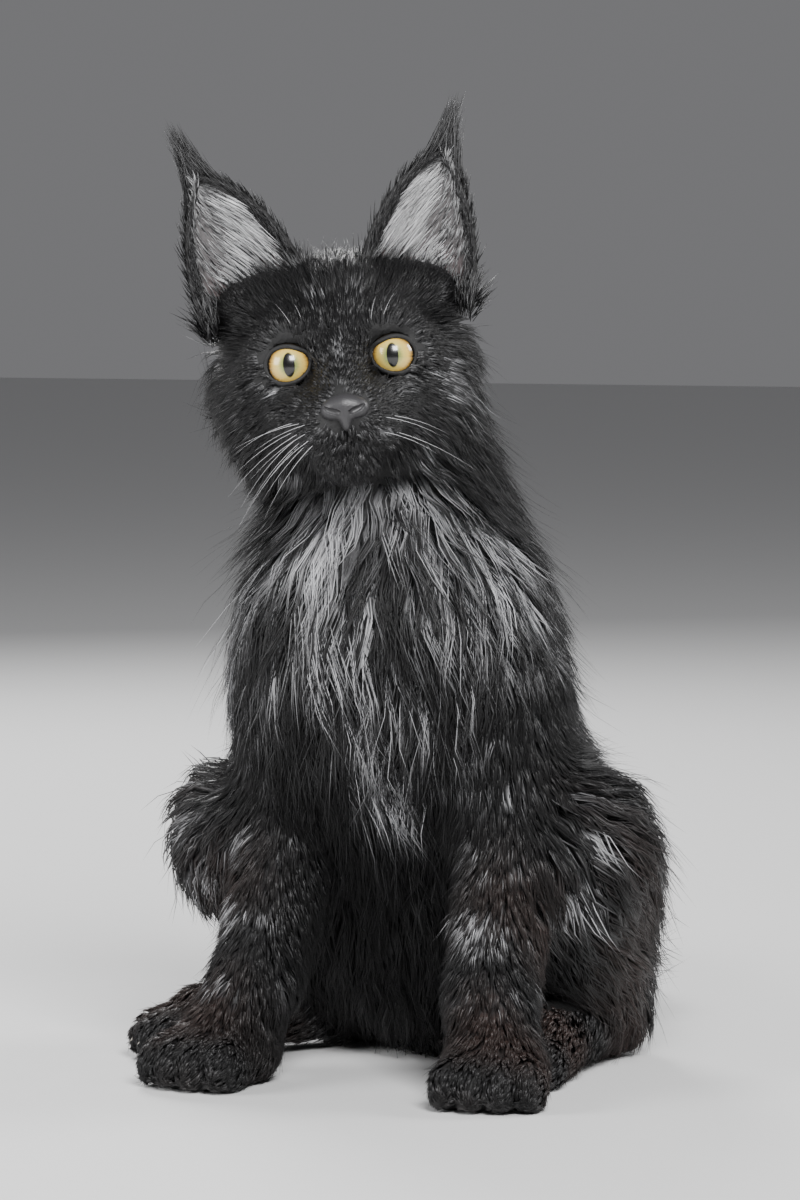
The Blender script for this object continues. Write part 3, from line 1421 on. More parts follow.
@dataclass
class Coat:
    """The cat's fur, grown from its skin up to the tips of its coat."""

    body: Body
    markings: Markings
    lie: Lie
    skin: bpy.types.Object
    rng: np.random.Generator
    stations: int = 7           # of a guide
    sink: float = 0.0012        # how deep a root lies in the skin
    wide: float = 4.6           # how much wider than a strand the tuft's woolly undercoat is
    stray: float = 0.07         # share of the strands that stand away from their tuft
    hang: float = 1.7           # how soon the coat hangs free where the skin turns downwards
    swirl: float = 0.16         # how far locks turn aside together
    swirls: tuple = ((110, 40, 75), (-60, 90, 150), (190, -70, 40))     # their waves, in radians to the metre
    wave: float = 0.045         # how far a long lock waves to each side, for each metre of its length

    def plan(self, points: Points, get: Callable[[CoatPlan], float]) -> Values:
        """A measure of the regions' plans, blended at each point."""
        shares = self.body.weights(points)
        return sum(shares[name] * get(plan) for name, plan in PLANS.items())

    def depth(self, points: Points) -> Values:
        """How deep the whole coat is over points of the skin."""
        most = 1.2 * self.plan(points, lambda plan: plan.deep)
        return np.clip(-distance(points, self.body.masses, np.ones(len(points))), 0.0012, most)

    def open_air(self, points: Points, normals: Points) -> np.ndarray:
        """Whether the coat over points of the skin ends in open air, and not in the coat of another part."""
        reach = 0.005 + 1.3 * self.plan(points, lambda plan: plan.deep)
        over = points + normals * reach[:, None]
        bare = distance(over, self.body.masses, np.ones(len(points))) > -0.004
        return bare & ((normals[:, 2] > -0.75) | (points[:, 2] > 0.03))

    def roots(self) -> Roots:
        """Spreads roots over the skin, denser where the tufts are smaller."""
        data = self.skin.data
        data.calc_loop_triangles()
        tris = np.empty(len(data.loop_triangles) * 3, np.int32)
        data.loop_triangles.foreach_get("vertices", tris)
        loops = np.empty(len(data.loop_triangles) * 3, np.int32)
        data.loop_triangles.foreach_get("loops", loops)
        chart = np.empty(len(data.loops) * 2, np.float32)
        data.uv_layers["OFBake"].data.foreach_get("uv", chart)
        corners = coords(data)[tris.reshape(-1, 3)]
        spots = chart.reshape(-1, 2)[loops.reshape(-1, 3)]
        cross = np.cross(corners[:, 1] - corners[:, 0], corners[:, 2] - corners[:, 0])
        areas = np.linalg.norm(cross, axis=1) / 2
        normals = unit(cross)
        middles = corners.mean(axis=1)
        bare = np.zeros(len(middles))
        far = np.abs(distance(middles, self.body.masses, bare))
        covered = (far < 0.0014) & (middles[:, 2] > FLOOR + 0.003)
        covered &= ~self.bare_face(middles)
        covered &= self.open_air(middles, normals)
        clump = self.plan(middles, lambda plan: plan.clump)
        dense = areas * covered / clump**2
        count = int(1.15 * dense.sum())
        picked = self.rng.choice(len(dense), size=count, p=dense / dense.sum())
        a, b = self.rng.random((2, count))
        flip = a + b > 1
        a, b = np.where(flip, 1 - a, a), np.where(flip, 1 - b, b)
        mix = np.stack([1 - a - b, a, b], axis=1)[..., None]
        return Roots((corners[picked] * mix).sum(axis=1), normals[picked], (spots[picked] * mix).sum(axis=1))

    def bare_face(self, points: Points) -> np.ndarray:
        """Whether points lie on the nose's leather or the rims of the lids."""
        local = moved(HEAD.inverted(), points)
        nose = (((local - (0, -0.0715, -0.0238)) / (0.0100, 0.0080, 0.0068)) ** 2).sum(axis=1) < 1
        near = np.zeros(len(points), bool)
        for side in (1, -1):
            off = local - (side * EYE_APART, EYE_DEPTH, 0)
            ahead = off[:, 1] < -0.002
            near |= ahead & (np.linalg.norm(off, axis=1) < EYE_RADIUS + 0.0013)
        return nose | near

    def grow(self, roots: Roots) -> Tufts:
        """Lays one guide from each root along the coat, rising to its surface.

        Args:
            roots: Where they grow.

        Returns:
            The guides with their depth, length and colours.
        """
        count = len(roots.points)
        depth = self.depth(roots.points)
        reach = self.plan(roots.points, lambda plan: plan.reach)
        base = self.plan(roots.points, lambda plan: plan.base)
        length = (base + reach * depth) * self.rng.uniform(0.82, 1.12, count)
        low, high = (self.plan(roots.points, lambda plan, k=k: plan.tips[k]) for k in (0, 1))
        tip = low + (high - low) * self.rng.random(count) ** 0.6
        swirl = np.sin(roots.points @ np.array(self.swirls).T)
        bend = self.rng.normal(0, 0.15, count) + self.swirl * swirl.sum(axis=1) * smooth(depth, 0.004, 0.012)
        place, out = roots.points - self.sink * roots.normals, roots.normals
        along = flat_to(self.lie.at(place), out)
        paths, outs = [place], [out]
        for n in range(1, self.stations):
            part = n / (self.stations - 1)
            free = place + along * (length / (self.stations - 1))[:, None]
            level = tip * part**0.62
            here, slope = slope_of(free, self.body.masses, level)
            size = np.maximum((slope**2).sum(axis=1), 0.25)
            slope = slope / np.sqrt(size)[:, None]
            move = np.clip(here / np.sqrt(size), -0.006, 0.006)
            follow = np.clip(1 + self.hang * slope[:, 2], 0.08, 1) * (here > 0) + (here <= 0)
            place = free - slope * (move * follow)[:, None]
            out = unit(out + follow[:, None] * slope)
            lie = self.lie.at(place)
            sideways = np.cross(out, along)
            along = flat_to(along + 0.8 * lie + (bend * part)[:, None] * sideways, out)
            place[:, 2] = np.maximum(place[:, 2], FLOOR + 0.0012)
            paths.append(place)
            outs.append(out)
        middle = paths[4]
        patchy = 1 + 0.28 * swirl.sum(axis=1)
        silver = self.markings.silver_at(middle) * patchy * (0.45 + 1.0 * self.rng.random(count) ** 1.3)
        silver = np.clip(silver + self.rng.normal(0.02, 0.04, count), 0, 1)
        return Tufts(
            roots, np.stack(paths, axis=1), np.stack(outs, axis=1), depth, length, silver,
            self.markings.brown_at(middle),
        )

    def strands(self, tufts: Tufts, each: int, sections: int) -> Strands:
        """The strands of each tuft, which root round its guide and gather towards its tip.

        Args:
            tufts: The guides.
            each: How many strands a tuft has, its undercoat being the first.
            sections: How many sections a strand has.

        Returns:
            All of them, tuft by tuft.
        """
        count = len(tufts.length)
        width, clump, gather = (
            self.plan(tufts.roots.points, pick)[:, None]
            for pick in (lambda p: p.width, lambda p: p.clump, lambda p: p.gather)
        )
        shape = (count, each)
        under = np.zeros(shape, bool)
        under[:, 0] = True
        stray = (self.rng.random(shape) < self.stray) & ~under
        radius = clump * np.sqrt(self.rng.random(shape)) * ~under
        angle = self.rng.uniform(0, math.tau, shape)
        aside, behind = radius * np.cos(angle), radius * np.sin(angle)
        short = np.where(under, 0.86, self.rng.uniform(0.74, 1.0, shape))
        stand = np.where(stray, self.rng.uniform(0.10, 0.30, shape), self.rng.normal(0, 0.018, shape))
        stand = np.where(under, -0.05, stand)
        sway = self.rng.normal(0, 0.035, shape) * ~under
        wave = self.wave * smooth(tufts.depth, 0.006, 0.014)[:, None]
        phase = self.rng.uniform(0, math.tau, (count, 1))

        steps = np.linspace(0, 1, sections + 1)
        guides = self.stations - 1
        rows = np.arange(count)[:, None]
        middles, outs = [], []
        for step in steps:
            at = short * step * guides
            low = np.minimum(at.astype(int), guides - 1)
            part = (at - low)[..., None]
            point = tufts.paths[rows, low] * (1 - part) + tufts.paths[rows, low + 1] * part
            out = unit(tufts.outs[rows, low] * (1 - part) + tufts.outs[rows, low + 1] * part)
            ahead = unit(tufts.paths[rows, low + 1] - tufts.paths[rows, low])
            side = unit(np.cross(ahead, out))
            open_by = np.where(stray, 1.0, 1 - gather * step**1.3)
            sideways = aside * open_by + sway * tufts.length[:, None] * step**2
            sideways = sideways + wave * tufts.length[:, None] * (np.sin(7.5 * step + phase) - np.sin(phase))
            lengthways = behind * (1 - 0.5 * step)
            lift = stand * tufts.length[:, None] * step**1.5
            point = point + side * sideways[..., None] + ahead * lengthways[..., None] + out * lift[..., None]
            middles.append(point)
            outs.append(out)
        flatness = np.where(under, 0.30, 0.8)
        widths = width * np.where(under, self.wide, self.rng.uniform(0.75, 1.25, shape))
        widths = np.where(stray, 0.6 * widths, widths)
        silver = tufts.silver[:, None] + self.rng.normal(0, 0.06, shape) * (tufts.silver[:, None] + 0.15)
        silver = np.clip(np.where(under, 0.55 * silver, silver), 0, 1)[..., None]
        brown = np.broadcast_to(tufts.brown[:, None, None], silver.shape)
        along = np.broadcast_to(steps, (*shape, sections + 1))
        colours = self.markings.colour(
            np.broadcast_to(silver, along.shape), np.broadcast_to(brown, along.shape), along
        )
        middles, outs, colours = (
            grid.reshape(-1, *grid.shape[2:])
            for grid in (np.stack(middles, axis=2), np.stack(outs, axis=2), colours)
        )
        spots = np.repeat(tufts.roots.spots, each, axis=0)
        return Strands(middles, outs, widths.ravel(), flatness.ravel(), colours, spots)


def flat_to(directions: Points, normals: Points) -> Points:
    """Directions laid along surfaces with the given normals."""
    return unit(directions - normals * (directions * normals).sum(axis=-1, keepdims=True))


def joined(parts: list[Strands]) -> Strands:
    """Sets of strands with the same number of sections, as one."""
    return Strands(*(
        np.concatenate([getattr(part, name) for part in parts])
        for name in ("middles", "outs", "widths", "flat", "colours", "spots")
    ))


def bristles(
    roots: Points, outs: Points, aheads: Points, bends: Points, lengths: Values, widths: Values,
    colours: np.ndarray, spots: np.ndarray,
) -> Strands:
    """Strands that leave their roots in given directions and bend evenly.

    Args:
        roots: Where they start.
        outs: Which way their ridges face.
        aheads: Which way they leave.
        bends: How far they have bent aside at their tips, for each metre of length.
        lengths: How long they are.
        widths: How wide they are.
        colours: Their colours, strands x stations x 3.
        spots: Their roots' places on the unwrapped skin.

    Returns:
        The strands.
    """
    steps = np.linspace(0, 1, colours.shape[1])[:, None]
    middles = roots[:, None] + lengths[:, None, None] * (steps * aheads[:, None] + steps**2 * bends[:, None])
    outs = np.repeat(outs[:, None], len(steps), axis=1)
    return Strands(middles, outs, widths, np.full(len(roots), 0.8), colours, spots)


@dataclass(frozen=True)
class HairKind:
    """How one kind of an ear's short hair is drawn."""

    count: int
    up: tuple               # where on the ear it grows, from its base to its tip
    across: tuple           # the same from edge to edge
    stray: float            # how unevenly it points
    silver: tuple           # mean, spread and the most that it may be
    length: tuple
    width: tuple
    ends: tuple = (1.0, 1.0)        # what its silver is multiplied by at the root and the tip


BACK_HAIR = HairKind(1700, (0, 0.97), (-1, 1), 0.08, (0.03, 0.03, 0.12), (0.008, 0.013), (0.0006, 0.0010))
RIM_HAIR = HairKind(1300, (0, 0.97), (0.80, 1), 0.06, (0.015, 0.02, 0.08), (0.006, 0.011), (0.0006, 0.0010))
HOLLOW_HAIR = HairKind(
    1000, (0.03, 0.90), (-0.86, 0.86), 0.10, (0.34, 0.14, 1), (0.007, 0.012), (0.0005, 0.0008)
)
BASE_HAIR = HairKind(
    900, (-0.02, 0.12), (-1.05, 1.05), 0.16, (0.05, 0.05, 0.2), (0.010, 0.019), (0.0006, 0.0010), (1.6, 0.6)
)


@dataclass
class EarCoat:
    """The fur of one ear: a dark back and rim, pale hair in the hollow, and the tuft on its tip."""

    ear: Ear
    chart: "SkinChart"
    rng: np.random.Generator
    dark: tuple = (0.0085, 0.0082, 0.0088)
    pale: tuple = (0.72, 0.72, 0.73)
    long_tufts: int = 90
    long_each: int = 9
    tip_hairs: int = 420
    tuft: tuple = (0.0100, 0.0, 0.0270)     # from the ear's tip to the tuft's, in the head's axes

    def tones(self, silver: Values, stations: int, root: float = 1.0, tip: float = 1.0) -> np.ndarray:
        """Colours from dark to pale.

        Args:
            silver: How pale each strand is.
            stations: How many colours each strand has.
            root: What its silver is multiplied by at the root.
            tip: The same at the tip.

        Returns:
            Strands x stations x 3.
        """
        along = np.linspace(root, tip, stations)
        mix = np.clip(silver[:, None] * along, 0, 1)[..., None]
        return np.array(self.dark) + mix * (np.array(self.pale) - self.dark)

    def sheet(self, up: Values, across: Values, outwards: float) -> tuple[Points, Points, Points, Points]:
        """Points on one face of the ear's wall, with their directions.

        Args:
            up: From 0 at the base to 1 at the tip.
            across: From -1 at the inner edge to 1 at the outer.
            outwards: 1 for the hollow face, -1 for the back.

        Returns:
            The points, and the directions up, across and out of that face.
        """
        rise, over, hollow = self.ear.axes(up, across)
        out = hollow * outwards
        return self.ear.points(up, across) + out * self.ear.wall * 0.4, rise, over, out

    def hairs(
        self, kind: HairKind, root: Points, out: Points, ahead: Points, bend: Points,
        fade: Values | float = 1.0,
    ) -> Strands:
        """Short hair of one kind.

        Args:
            kind: How it is drawn.
            root: Where the hairs start.
            out: Which way their ridges face.
            ahead: Which way they leave.
            bend: How far they bend aside.
            fade: What their silver is multiplied by.

        Returns:
            The strands.
        """
        mean, spread, most = kind.silver
        silver = np.clip(self.rng.normal(mean, spread, kind.count) * fade, 0, most)
        lengths, widths = (self.rng.uniform(*span, kind.count) for span in (kind.length, kind.width))
        colours = self.tones(silver, 3, *kind.ends)
        return bristles(root, out, ahead, bend, lengths, widths, colours, self.chart.spots(root))

    def back(self) -> Strands:
        """Short dark fur on the back of the ear."""
        kind, n = BACK_HAIR, BACK_HAIR.count
        up, across = self.rng.uniform(*kind.up, n), self.rng.uniform(*kind.across, n)
        root, rise, over, out = self.sheet(up, across, -1)
        ahead = rise + 0.35 * across[:, None] * over + 0.28 * out
        ahead = unit(ahead + self.rng.normal(0, kind.stray, (n, 3)))
        return self.hairs(kind, root, out, ahead, -0.12 * out)

    def rim(self) -> Strands:
        """Dark hair that lies over both edges and hides the wall."""
        kind, n = RIM_HAIR, RIM_HAIR.count
        up = self.rng.uniform(*kind.up, n)
        edge = np.where(self.rng.random(n) < 0.5, -1.0, 1.0)
        across = edge * self.rng.uniform(*kind.across, n)
        root, rise, over, out = self.sheet(up, across, 1)
        away = over * edge[:, None]
        ahead = unit(rise + self.rng.uniform(0.0, 0.45, n)[:, None] * away + 0.16 * out)
        ahead = unit(ahead + self.rng.normal(0, kind.stray, (n, 3)))
        return self.hairs(kind, root, out, ahead, -0.10 * out)

    def hollow(self) -> Strands:
        """Short pale hair that lies in the hollow."""
        kind, n = HOLLOW_HAIR, HOLLOW_HAIR.count
        up, across = self.rng.uniform(*kind.up, n), self.rng.uniform(*kind.across, n)
        root, rise, over, out = self.sheet(up, across, 1)
        ahead = unit(rise + 0.5 * over + 0.15 * out + self.rng.normal(0, kind.stray, (n, 3)))
        return self.hairs(kind, root, out, ahead, -0.10 * out, smooth(np.abs(across), 0.95, 0.6))

    def furnishings(self) -> Strands:
        """Long silver hair that sweeps from the inner edge up and across the hollow."""
        up = self.rng.uniform(0.02, 0.56, self.long_tufts)
        across = self.rng.uniform(-0.86, -0.30, self.long_tufts) + 0.5 * (up < 0.12)
        root, rise, over, out = self.sheet(up, across, 1)
        ahead = unit(rise + (0.10 + 0.25 * self.rng.random(len(up)))[:, None] * over + 0.30 * out)
        length = self.rng.uniform(0.020, 0.034, len(up)) * (1.05 - 0.55 * up)
        silver = self.rng.uniform(0.45, 1.0, len(up))

        def spread(rows: np.ndarray) -> np.ndarray:
            """One row for each strand of a tuft."""
            return np.repeat(rows, self.long_each, axis=0)

        n = len(up) * self.long_each
        place = spread(root) + self.rng.normal(0, 0.0011, (n, 3))
        turned_by = self.rng.normal(0, 0.07, (n, 3))
        lengths, widths = spread(length) * self.rng.uniform(0.7, 1, n), self.rng.uniform(0.00035, 0.0006, n)
        bends, colours = spread(0.26 * over - 0.22 * out), self.tones(spread(silver), 4, 0.8, 1.1)
        aheads = unit(spread(ahead) + turned_by)
        return bristles(place, spread(out), aheads, bends, lengths, widths, colours, self.chart.spots(place))

    def base(self) -> Strands:
        """Dark hair that stands round the foot of the ear and blends it with the head."""
        kind, n = BASE_HAIR, BASE_HAIR.count
        up, across = self.rng.uniform(*kind.up, n), self.rng.uniform(*kind.across, n)
        front = self.rng.random(n) < 0.6
        rooted, behind = self.sheet(up, across, 1), self.sheet(up, across, -1)
        root, rise, over, out = (np.where(front[:, None], rooted[k], behind[k]) for k in range(4))
        root = root - 0.003 * rise
        ahead = rise + 0.35 * out + 0.5 * across[:, None] * over
        ahead = unit(ahead + self.rng.normal(0, kind.stray, (n, 3)))
        return self.hairs(kind, root, out, ahead, 0.10 * over)

    def tip(self) -> Strands:
        """The tuft: dark hair from the upper edges and tip that gathers to a point."""
        n = self.tip_hairs
        up, across = self.rng.uniform(0.66, 0.98, n), self.rng.uniform(-1, 1, n)
        facing = np.where(self.rng.random(n) < 0.45, 1.0, -1.0)
        front, back = self.sheet(up, across, 1), self.sheet(up, across, -1)
        root, rise, out = (
            np.where(facing[:, None] > 0, front[k], back[k]) for k in (0, 1, 3)
        )
        local = np.array(self.ear.tip) + self.tuft
        end = moved(self.ear.place(), (local * (self.ear.side, 1, 1))[None])
        end = end + self.rng.normal(0, 0.0020, (n, 3))
        share = self.rng.uniform(0.42, 1.0, n) ** 0.8
        end = root + (end - root) * share[:, None] + self.rng.normal(0, 0.0012, (n, 3))
        length = np.linalg.norm(end - root, axis=1)
        ahead = unit(unit(end - root) + 0.45 * rise)
        bend = (end - root) / length[:, None] - ahead
        silver = np.clip(self.rng.normal(0.05, 0.035, n), 0, 0.2)
        return bristles(
            root, out, ahead, bend, length, self.rng.uniform(0.0004, 0.0008, n),
            self.tones(silver, 4, 0.5, 1.3), self.chart.spots(root),
        )


@dataclass
class SkinChart:
    """Finds the place on the unwrapped skin that is nearest to a point."""

    skin: bpy.types.Object

    def __post_init__(self) -> None:
        """Makes a search tree of the skin's faces."""
        data = self.skin.data
        count = len(data.polygons)
        middles = np.empty(count * 3, np.float32)
        data.polygons.foreach_get("center", middles)
        starts = np.empty(count, np.int32)
        data.polygons.foreach_get("loop_start", starts)
        chart = np.empty(len(data.loops) * 2, np.float32)
        data.uv_layers["OFBake"].data.foreach_get("uv", chart)
        self.places = chart.reshape(-1, 2)[starts]
        self.tree = KDTree(count)
        for n, middle in enumerate(middles.reshape(-1, 3)):
            self.tree.insert(middle, n)
        self.tree.balance()

    def spots(self, points: Points) -> np.ndarray:
        """The places on the unwrapped skin for some points."""
        return np.array([self.places[self.tree.find(point)[1]] for point in points])


# Nose, whiskers and claws

@dataclass(frozen=True)
class Nose:
    """The leather of the nose, with its nostrils."""

    voxel: float = 0.00055
    nostril: tuple = (
        ((0.0026, -0.0800, -0.0256), 0.0011), ((0.0054, -0.0790, -0.0250), 0.0017),
        ((0.0084, -0.0765, -0.0232), 0.0013), ((0.0104, -0.0740, -0.0212), 0.0006),
    )

    def masses(self) -> list[Egg]:
        """Its middle, its wings and the ridge down to the lip."""
        wing = Egg(at=(0.0066, -0.0694, -0.0236), radii=(0.0048, 0.0050, 0.0046), blend=0.004)
        parts = (
            Egg(at=(0, -0.0706, -0.0222), radii=(0.0082, 0.0058, 0.0060)), *both(wing),
            Egg(at=(0, -0.0712, -0.0285), radii=(0.0026, 0.0046, 0.0052), blend=0.003),
        )
        return [replace(part, place=HEAD) for part in parts]

    def build(self) -> bpy.types.Object:
        """The nose as one closed mesh."""
        mesh, masses = bmesh.new(), self.masses()
        for mass in masses:
            mass.add_to(mesh)
        nose = from_bmesh("nose", mesh)
        remesh = nose.modifiers.new("weld the masses", "REMESH")
        remesh.mode = "VOXEL"
        remesh.voxel_size = self.voxel
        applied(nose)
        bare = coords(nose.data)
        points = settled(bare, masses, np.zeros(len(bare)), rounds=6)
        nose.data.vertices.foreach_set("co", points.ravel())
        for side in (1, -1):
            places = moved(HEAD, np.array([p for p, _ in self.nostril]) * (side, 1, 1))
            places = settled(places, masses, np.zeros(len(places)), rounds=12)
            cutter = tube([Vector(p) for p in places], [r for _, r in self.nostril], 10)
            boolean(nose, from_bmesh("nostril", cutter), "DIFFERENCE")
        return nose


@dataclass
class Whiskers:
    """Stiff pale hairs of the lip pads and brows."""

    rng: np.random.Generator
    rows: tuple = (-0.0285, -0.0320, -0.0355, -0.0388)      # heights on a lip pad, in the head's axes
    each: int = 3
    few: int = 2            # in a row of its left pad, which shows fewer
    length: tuple = (0.034, 0.056)
    thick: float = 0.00015
    brow_hairs: int = 2
    stations: int = 8

    def add(self, mesh: bmesh.types.BMesh, start: Vector, ahead: Vector, bend: Vector, length: float) -> None:
        """Adds one whisker.

        Args:
            mesh: What it is added to.
            start: Its root, in the head's axes.
            ahead: Which way it leaves.
            bend: How far it has bent aside at its tip, for each metre of length.
            length: How long it is.
        """
        steps = [n / (self.stations - 1) for n in range(self.stations)]
        path = [HEAD @ (start + length * (t * ahead + t * t * bend)) for t in steps]
        add_tube(mesh, path, [self.thick * (1 - 0.85 * t) for t in steps], 5)

    def build(self) -> bpy.types.Object:
        """All whiskers as one mesh."""
        mesh = bmesh.new()
        for side in (1, -1):
            rows, each = (self.rows, self.each) if side < 0 else (self.rows[::2], self.few)
            for n, height in enumerate(rows):
                for k in range(each):
                    start = Vector((side * (0.0165 + 0.0030 * k), -0.0690 + 0.0042 * k, height + 0.0006 * k))
                    droop = -0.12 - 0.22 * n + self.rng.uniform(-0.08, 0.08)
                    ahead = Vector((side, -0.35 + 0.16 * k, droop)).normalized()
                    bend = Vector((-0.05 * side, 0.30, -0.24 + self.rng.uniform(-0.08, 0.08)))
                    self.add(mesh, start, ahead, bend, self.rng.uniform(*self.length) * (0.75 + 0.08 * k))
            for k in range(self.brow_hairs):
                start = Vector((side * (0.0160 + 0.0050 * k), -0.0400, 0.0175 - 0.0006 * k))
                ahead = Vector((side * (0.15 + 0.25 * k), -0.45, 1.0)).normalized()
                self.add(mesh, start, ahead, Vector((0.10 * side, 0.20, -0.10)), 0.013 + 0.003 * k)
        return from_bmesh("whiskers", mesh)


@dataclass(frozen=True)
class Claws:
    """The tips of the claws, drawn in among the hair of the toes."""

    body: Body
    length: float = 0.0068
    thick: float = 0.0011
    height: float = 0.0125          # of its root
    fore_ahead: float = 0.0080      # how far past a toe's middle a front claw starts
    hind_ahead: float = 0.0115
    steps: tuple = (0.0, 0.35, 0.7, 1.0)        # places along it, as shares of its length

    def build(self) -> bpy.types.Object:
        """All claws as one mesh."""
        mesh = bmesh.new()
        legs = (*self.body.forelegs, *self.body.hind_legs)
        ahead = (*[self.fore_ahead] * 2, *[self.hind_ahead] * 2)
        for leg, further in zip(legs, ahead):
            paw = leg.foot()
            place = paw.place()
            for toe in paw.TOES:
                start = Vector((toe * paw.width * 0.56, -paw.reach(toe) - further, self.height))
                curve = [start + self.length * Vector((0, -t, -0.15 * t - 0.45 * t * t)) for t in self.steps]
                radii = [self.thick * (1.02 - t**1.5) for t in self.steps]
                add_tube(mesh, [place @ point for point in curve], radii, 8)
        return from_bmesh("claws", mesh)


# Studio

@dataclass(frozen=True)
class Studio:
    """A pale floor, soft lights and the camera."""

    turn: float = 25.0          # of the camera to the cat's left, in degrees
    rise: float = 3.9           # of the camera over the level, in degrees
    away: float = 2.4
    aside: float = 0.028        # of what it looks at, to its right of the cat's axes
    height: float = 0.236
    lens: float = 152.2
    floor_size: float = 12      # half its side
    floor_gap: float = 0.0002
    floor: tuple = (0.66, 0.66, 0.66)
    backdrop: tuple = (0.30, 0.30, 0.31)
    backdrop_strength: float = 0.6
    lights: tuple = (       # name, place, side and watts
        ("key", (1.3, -1.7, 1.8), 0.9, 110), ("fill", (-1.5, -1.8, 1.0), 1.2, 52),
        ("rim_left", (-1.3, 1.4, 1.4), 0.8, 40), ("rim_right", (1.6, 1.2, 1.3), 0.8, 36),
    )

    def camera(self) -> None:
        """Sets the camera at the photograph's angle."""
        turn, rise = math.radians(self.turn), math.radians(self.rise)
        right = Vector((math.cos(turn), math.sin(turn), 0))
        target = right * self.aside + Vector((0, 0, self.height)) + SHIFT
        back = Vector((math.sin(turn) * math.cos(rise), -math.cos(turn) * math.cos(rise), math.sin(rise)))
        data = bpy.data.cameras.new("camera")
        data.lens = self.lens
        made = bpy.data.objects.new("camera", data)
        made.location = target + self.away * back
        made.rotation_euler = (-back).to_track_quat("-Z", "Y").to_euler()
        bpy.context.scene.collection.objects.link(made)
        bpy.context.scene.camera = made

    def light(self, name: str, at: tuple, size: float, power: float) -> None:
        """A soft square light that faces the cat.

        Args:
            name: The light's name.
            at: Where it stands, in the frame.
            size: Its side.
            power: In watts.
        """
        data = bpy.data.lights.new(name, "AREA")
        data.size = size
        data.energy = power
        made = bpy.data.objects.new(name, data)
        made.location = at
        made.rotation_euler = (Vector((0, 0, 0.25)) - Vector(at)).to_track_quat("-Z", "Y").to_euler()
        bpy.context.scene.collection.objects.link(made)

    def build(self) -> None:
        """Floor, lights, backdrop colour and camera."""
        mesh = bmesh.new()
        place = Matrix.Translation((0, 0, -self.floor_gap))
        bmesh.ops.create_grid(mesh, x_segments=1, y_segments=1, size=self.floor_size, matrix=place)
        floor = from_bmesh("floor", mesh)
        floor.data.materials.append(PlainFinish(self.floor, 0.7).build("floor finish"))
        world = bpy.data.worlds.new("studio")
        world.use_nodes = True
        glow = world.node_tree.nodes["Background"]
        glow.inputs["Color"].default_value = (*self.backdrop, 1)
        glow.inputs["Strength"].default_value = self.backdrop_strength
        bpy.context.scene.world = world
        for name, at, size, power in self.lights:
            self.light(name, at, size, power)
        self.camera()


@dataclass(frozen=True)
class Eyeball:
    """An eyeball that looks the way the head faces, a little towards the nose."""

    name: str
    side: int
    segments: tuple = (64, 40)

    def build(self) -> bpy.types.Object:
        """The eyeball, with a UV map that looks straight at its pupil."""
        mesh = bmesh.new()
        bmesh.ops.create_uvsphere(
            mesh, u_segments=self.segments[0], v_segments=self.segments[1], radius=EYE_RADIUS
        )
        layer = mesh.loops.layers.uv.new("eye")
        for face in mesh.faces:
            for loop in face.loops:
                x, y, z = loop.vert.co / EYE_RADIUS
                reach = 1.0 if z > 0 else 1.02
                loop[layer].uv = (0.5 + 0.5 * x * reach, 0.5 + 0.5 * y * reach)
        turn = HEAD.to_3x3().to_4x4() @ degrees(90, 0, 0).to_matrix().to_4x4()
        place = Matrix.Translation(HEAD @ Vector((self.side * EYE_APART, EYE_DEPTH, 0))) @ turn
        bmesh.ops.transform(mesh, matrix=place, verts=mesh.verts)
        return from_bmesh(self.name, mesh)


@dataclass(frozen=True)
class CoatPiece:
    """One piece of the coat: which tufts it takes in, and how many strands each has."""

    name: str
    regions: tuple
    each: int
    sections: int
    side: int = 0           # 1 or -1 for the tufts of the cat's left or right side only
    deep: tuple = (0.0, 1.0)        # the depths of coat that it takes in

    def takes(self, owner: list[Region], tufts: Tufts) -> np.ndarray:
        """Which tufts belong to the piece."""
        mine = np.array([region in self.regions for region in owner])
        if self.side:
            points = tufts.roots.points
            across = moved(HEAD.inverted(), points) if Region.HEAD in self.regions else points
            mine &= (across[:, 0] >= 0) == (self.side > 0)
        low, high = self.deep
        return np.flatnonzero(mine & (tufts.depth >= low) & (tufts.depth < high))


RUFF = 0.0062       # depth of the head's coat from which it counts as its ruff
COAT_PIECES = (
    CoatPiece("coat_face", (Region.HEAD,), 5, 2, deep=(0.0, RUFF)),
    CoatPiece("coat_ruff_left", (Region.HEAD,), 5, 3, side=1, deep=(RUFF, 1.0)),
    CoatPiece("coat_ruff_right", (Region.HEAD,), 5, 3, side=-1, deep=(RUFF, 1.0)),
    CoatPiece("coat_chest", (Region.NECK,), 8, 4),
    CoatPiece("coat_trunk_left", (Region.TORSO,), 8, 3, side=1),
    CoatPiece("coat_trunk_right", (Region.TORSO,), 8, 3, side=-1),
    CoatPiece("coat_forelegs", (Region.FORELEG,), 5, 2),
    CoatPiece("coat_paws", (Region.PAW, Region.FOOT), 3, 2),
    CoatPiece("coat_thighs", (Region.THIGH,), 6, 3),
    CoatPiece("coat_tail", (Region.TAIL,), 13, 3),
)


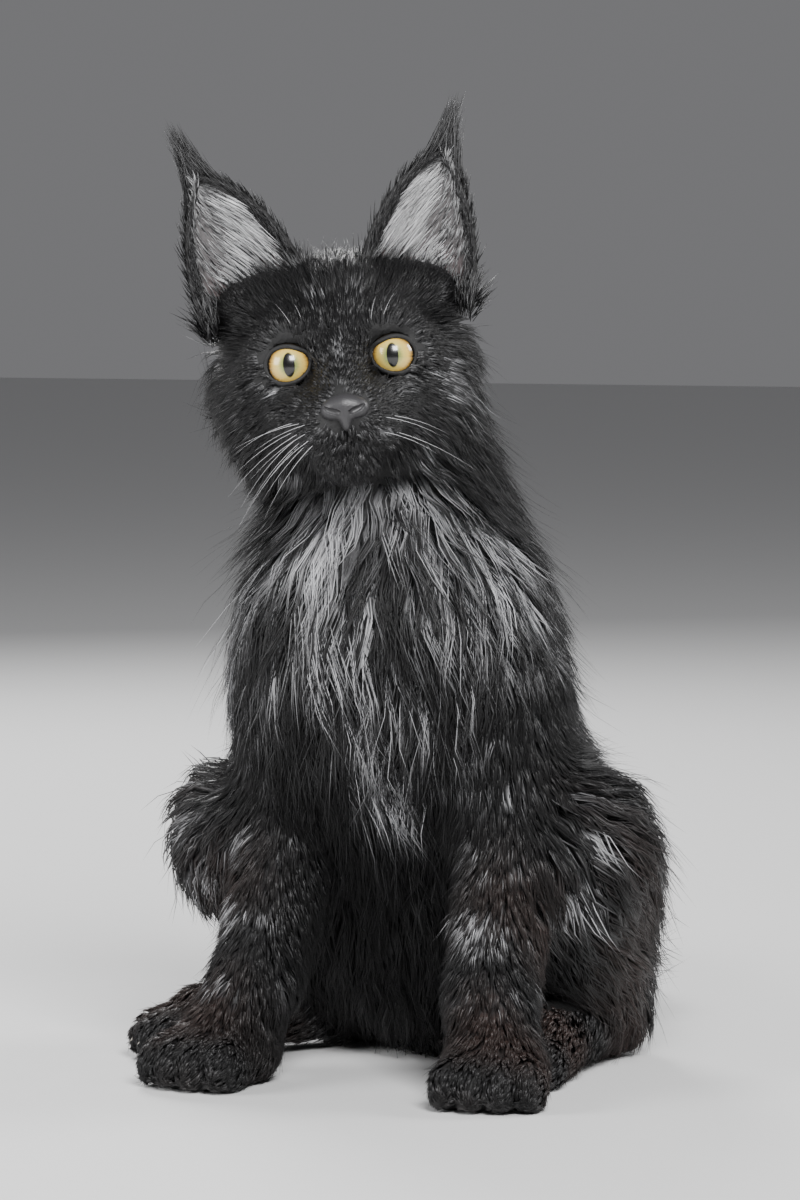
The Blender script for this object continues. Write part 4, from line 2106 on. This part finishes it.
def build_coat(body: Body, markings: Markings, skin: bpy.types.Object, rng: np.random.Generator) -> None:
    """Grows and dresses all the coat.

    Args:
        body: The cat's masses.
        markings: Its colours.
        skin: What the coat grows from.
        rng: The source of all its unevenness.
    """
    finish = CoatFinish().build("coat finish")
    coat = Coat(body, markings, Lie(body), skin, rng)
    tufts = coat.grow(coat.roots())
    shares = body.weights(tufts.roots.points)
    names = list(shares)
    owner = [names[k] for k in np.argmax(np.stack([shares[name] for name in names]), axis=0)]
    total = 0
    for piece in COAT_PIECES:
        mine = tufts.pick(piece.takes(owner, tufts))
        strands = coat.strands(mine, piece.each, piece.sections)
        total += strands.triangles()
        log.info("%s: %d tufts, %d triangles", piece.name, len(mine.length), strands.triangles())
        set_up(strands.build(piece.name), finish, "coat")
    chart = SkinChart(skin)
    coats = [EarCoat(ear, chart, rng) for ear in EARS]
    short = joined([part for ear in coats for part in (ear.back(), ear.rim(), ear.hollow(), ear.base())])
    long = joined([part for ear in coats for part in (ear.furnishings(), ear.tip())])
    for name, strands in (("coat_ears", short), ("coat_ear_tufts", long)):
        total += strands.triangles()
        set_up(strands.build(name), finish, "coat")
    log.info("whole coat: %d triangles", total)


def main() -> None:
    """Builds the cat and its studio."""
    rng = np.random.default_rng(SEED)
    body, markings = Body(), Markings()
    skin = Skin(body, markings).build()
    build_coat(body, markings, skin, rng)
    set_up(skin, SkinFinish().build("skin finish"), "coat", *FLESH_NODES)
    iris = IrisFinish().build("iris finish")
    for name, side in (("left", 1), ("right", -1)):
        set_up(Eyeball("eyeball_" + name, side).build(), iris, "iris", "eye_" + name)
    set_up(Nose().build(), LeatherFinish().build("nose leather"), "coat")
    set_up(Whiskers(rng).build(), PlainFinish((0.42, 0.42, 0.43), 0.40).build("whisker finish"), "coat")
    set_up(Claws(body).build(), PlainFinish((0.42, 0.39, 0.35), 0.30).build("claw finish"), "coat")
    Studio().build()


if __name__ == "__main__":
    logging.basicConfig(level=logging.INFO, format="%(message)s")
    main()
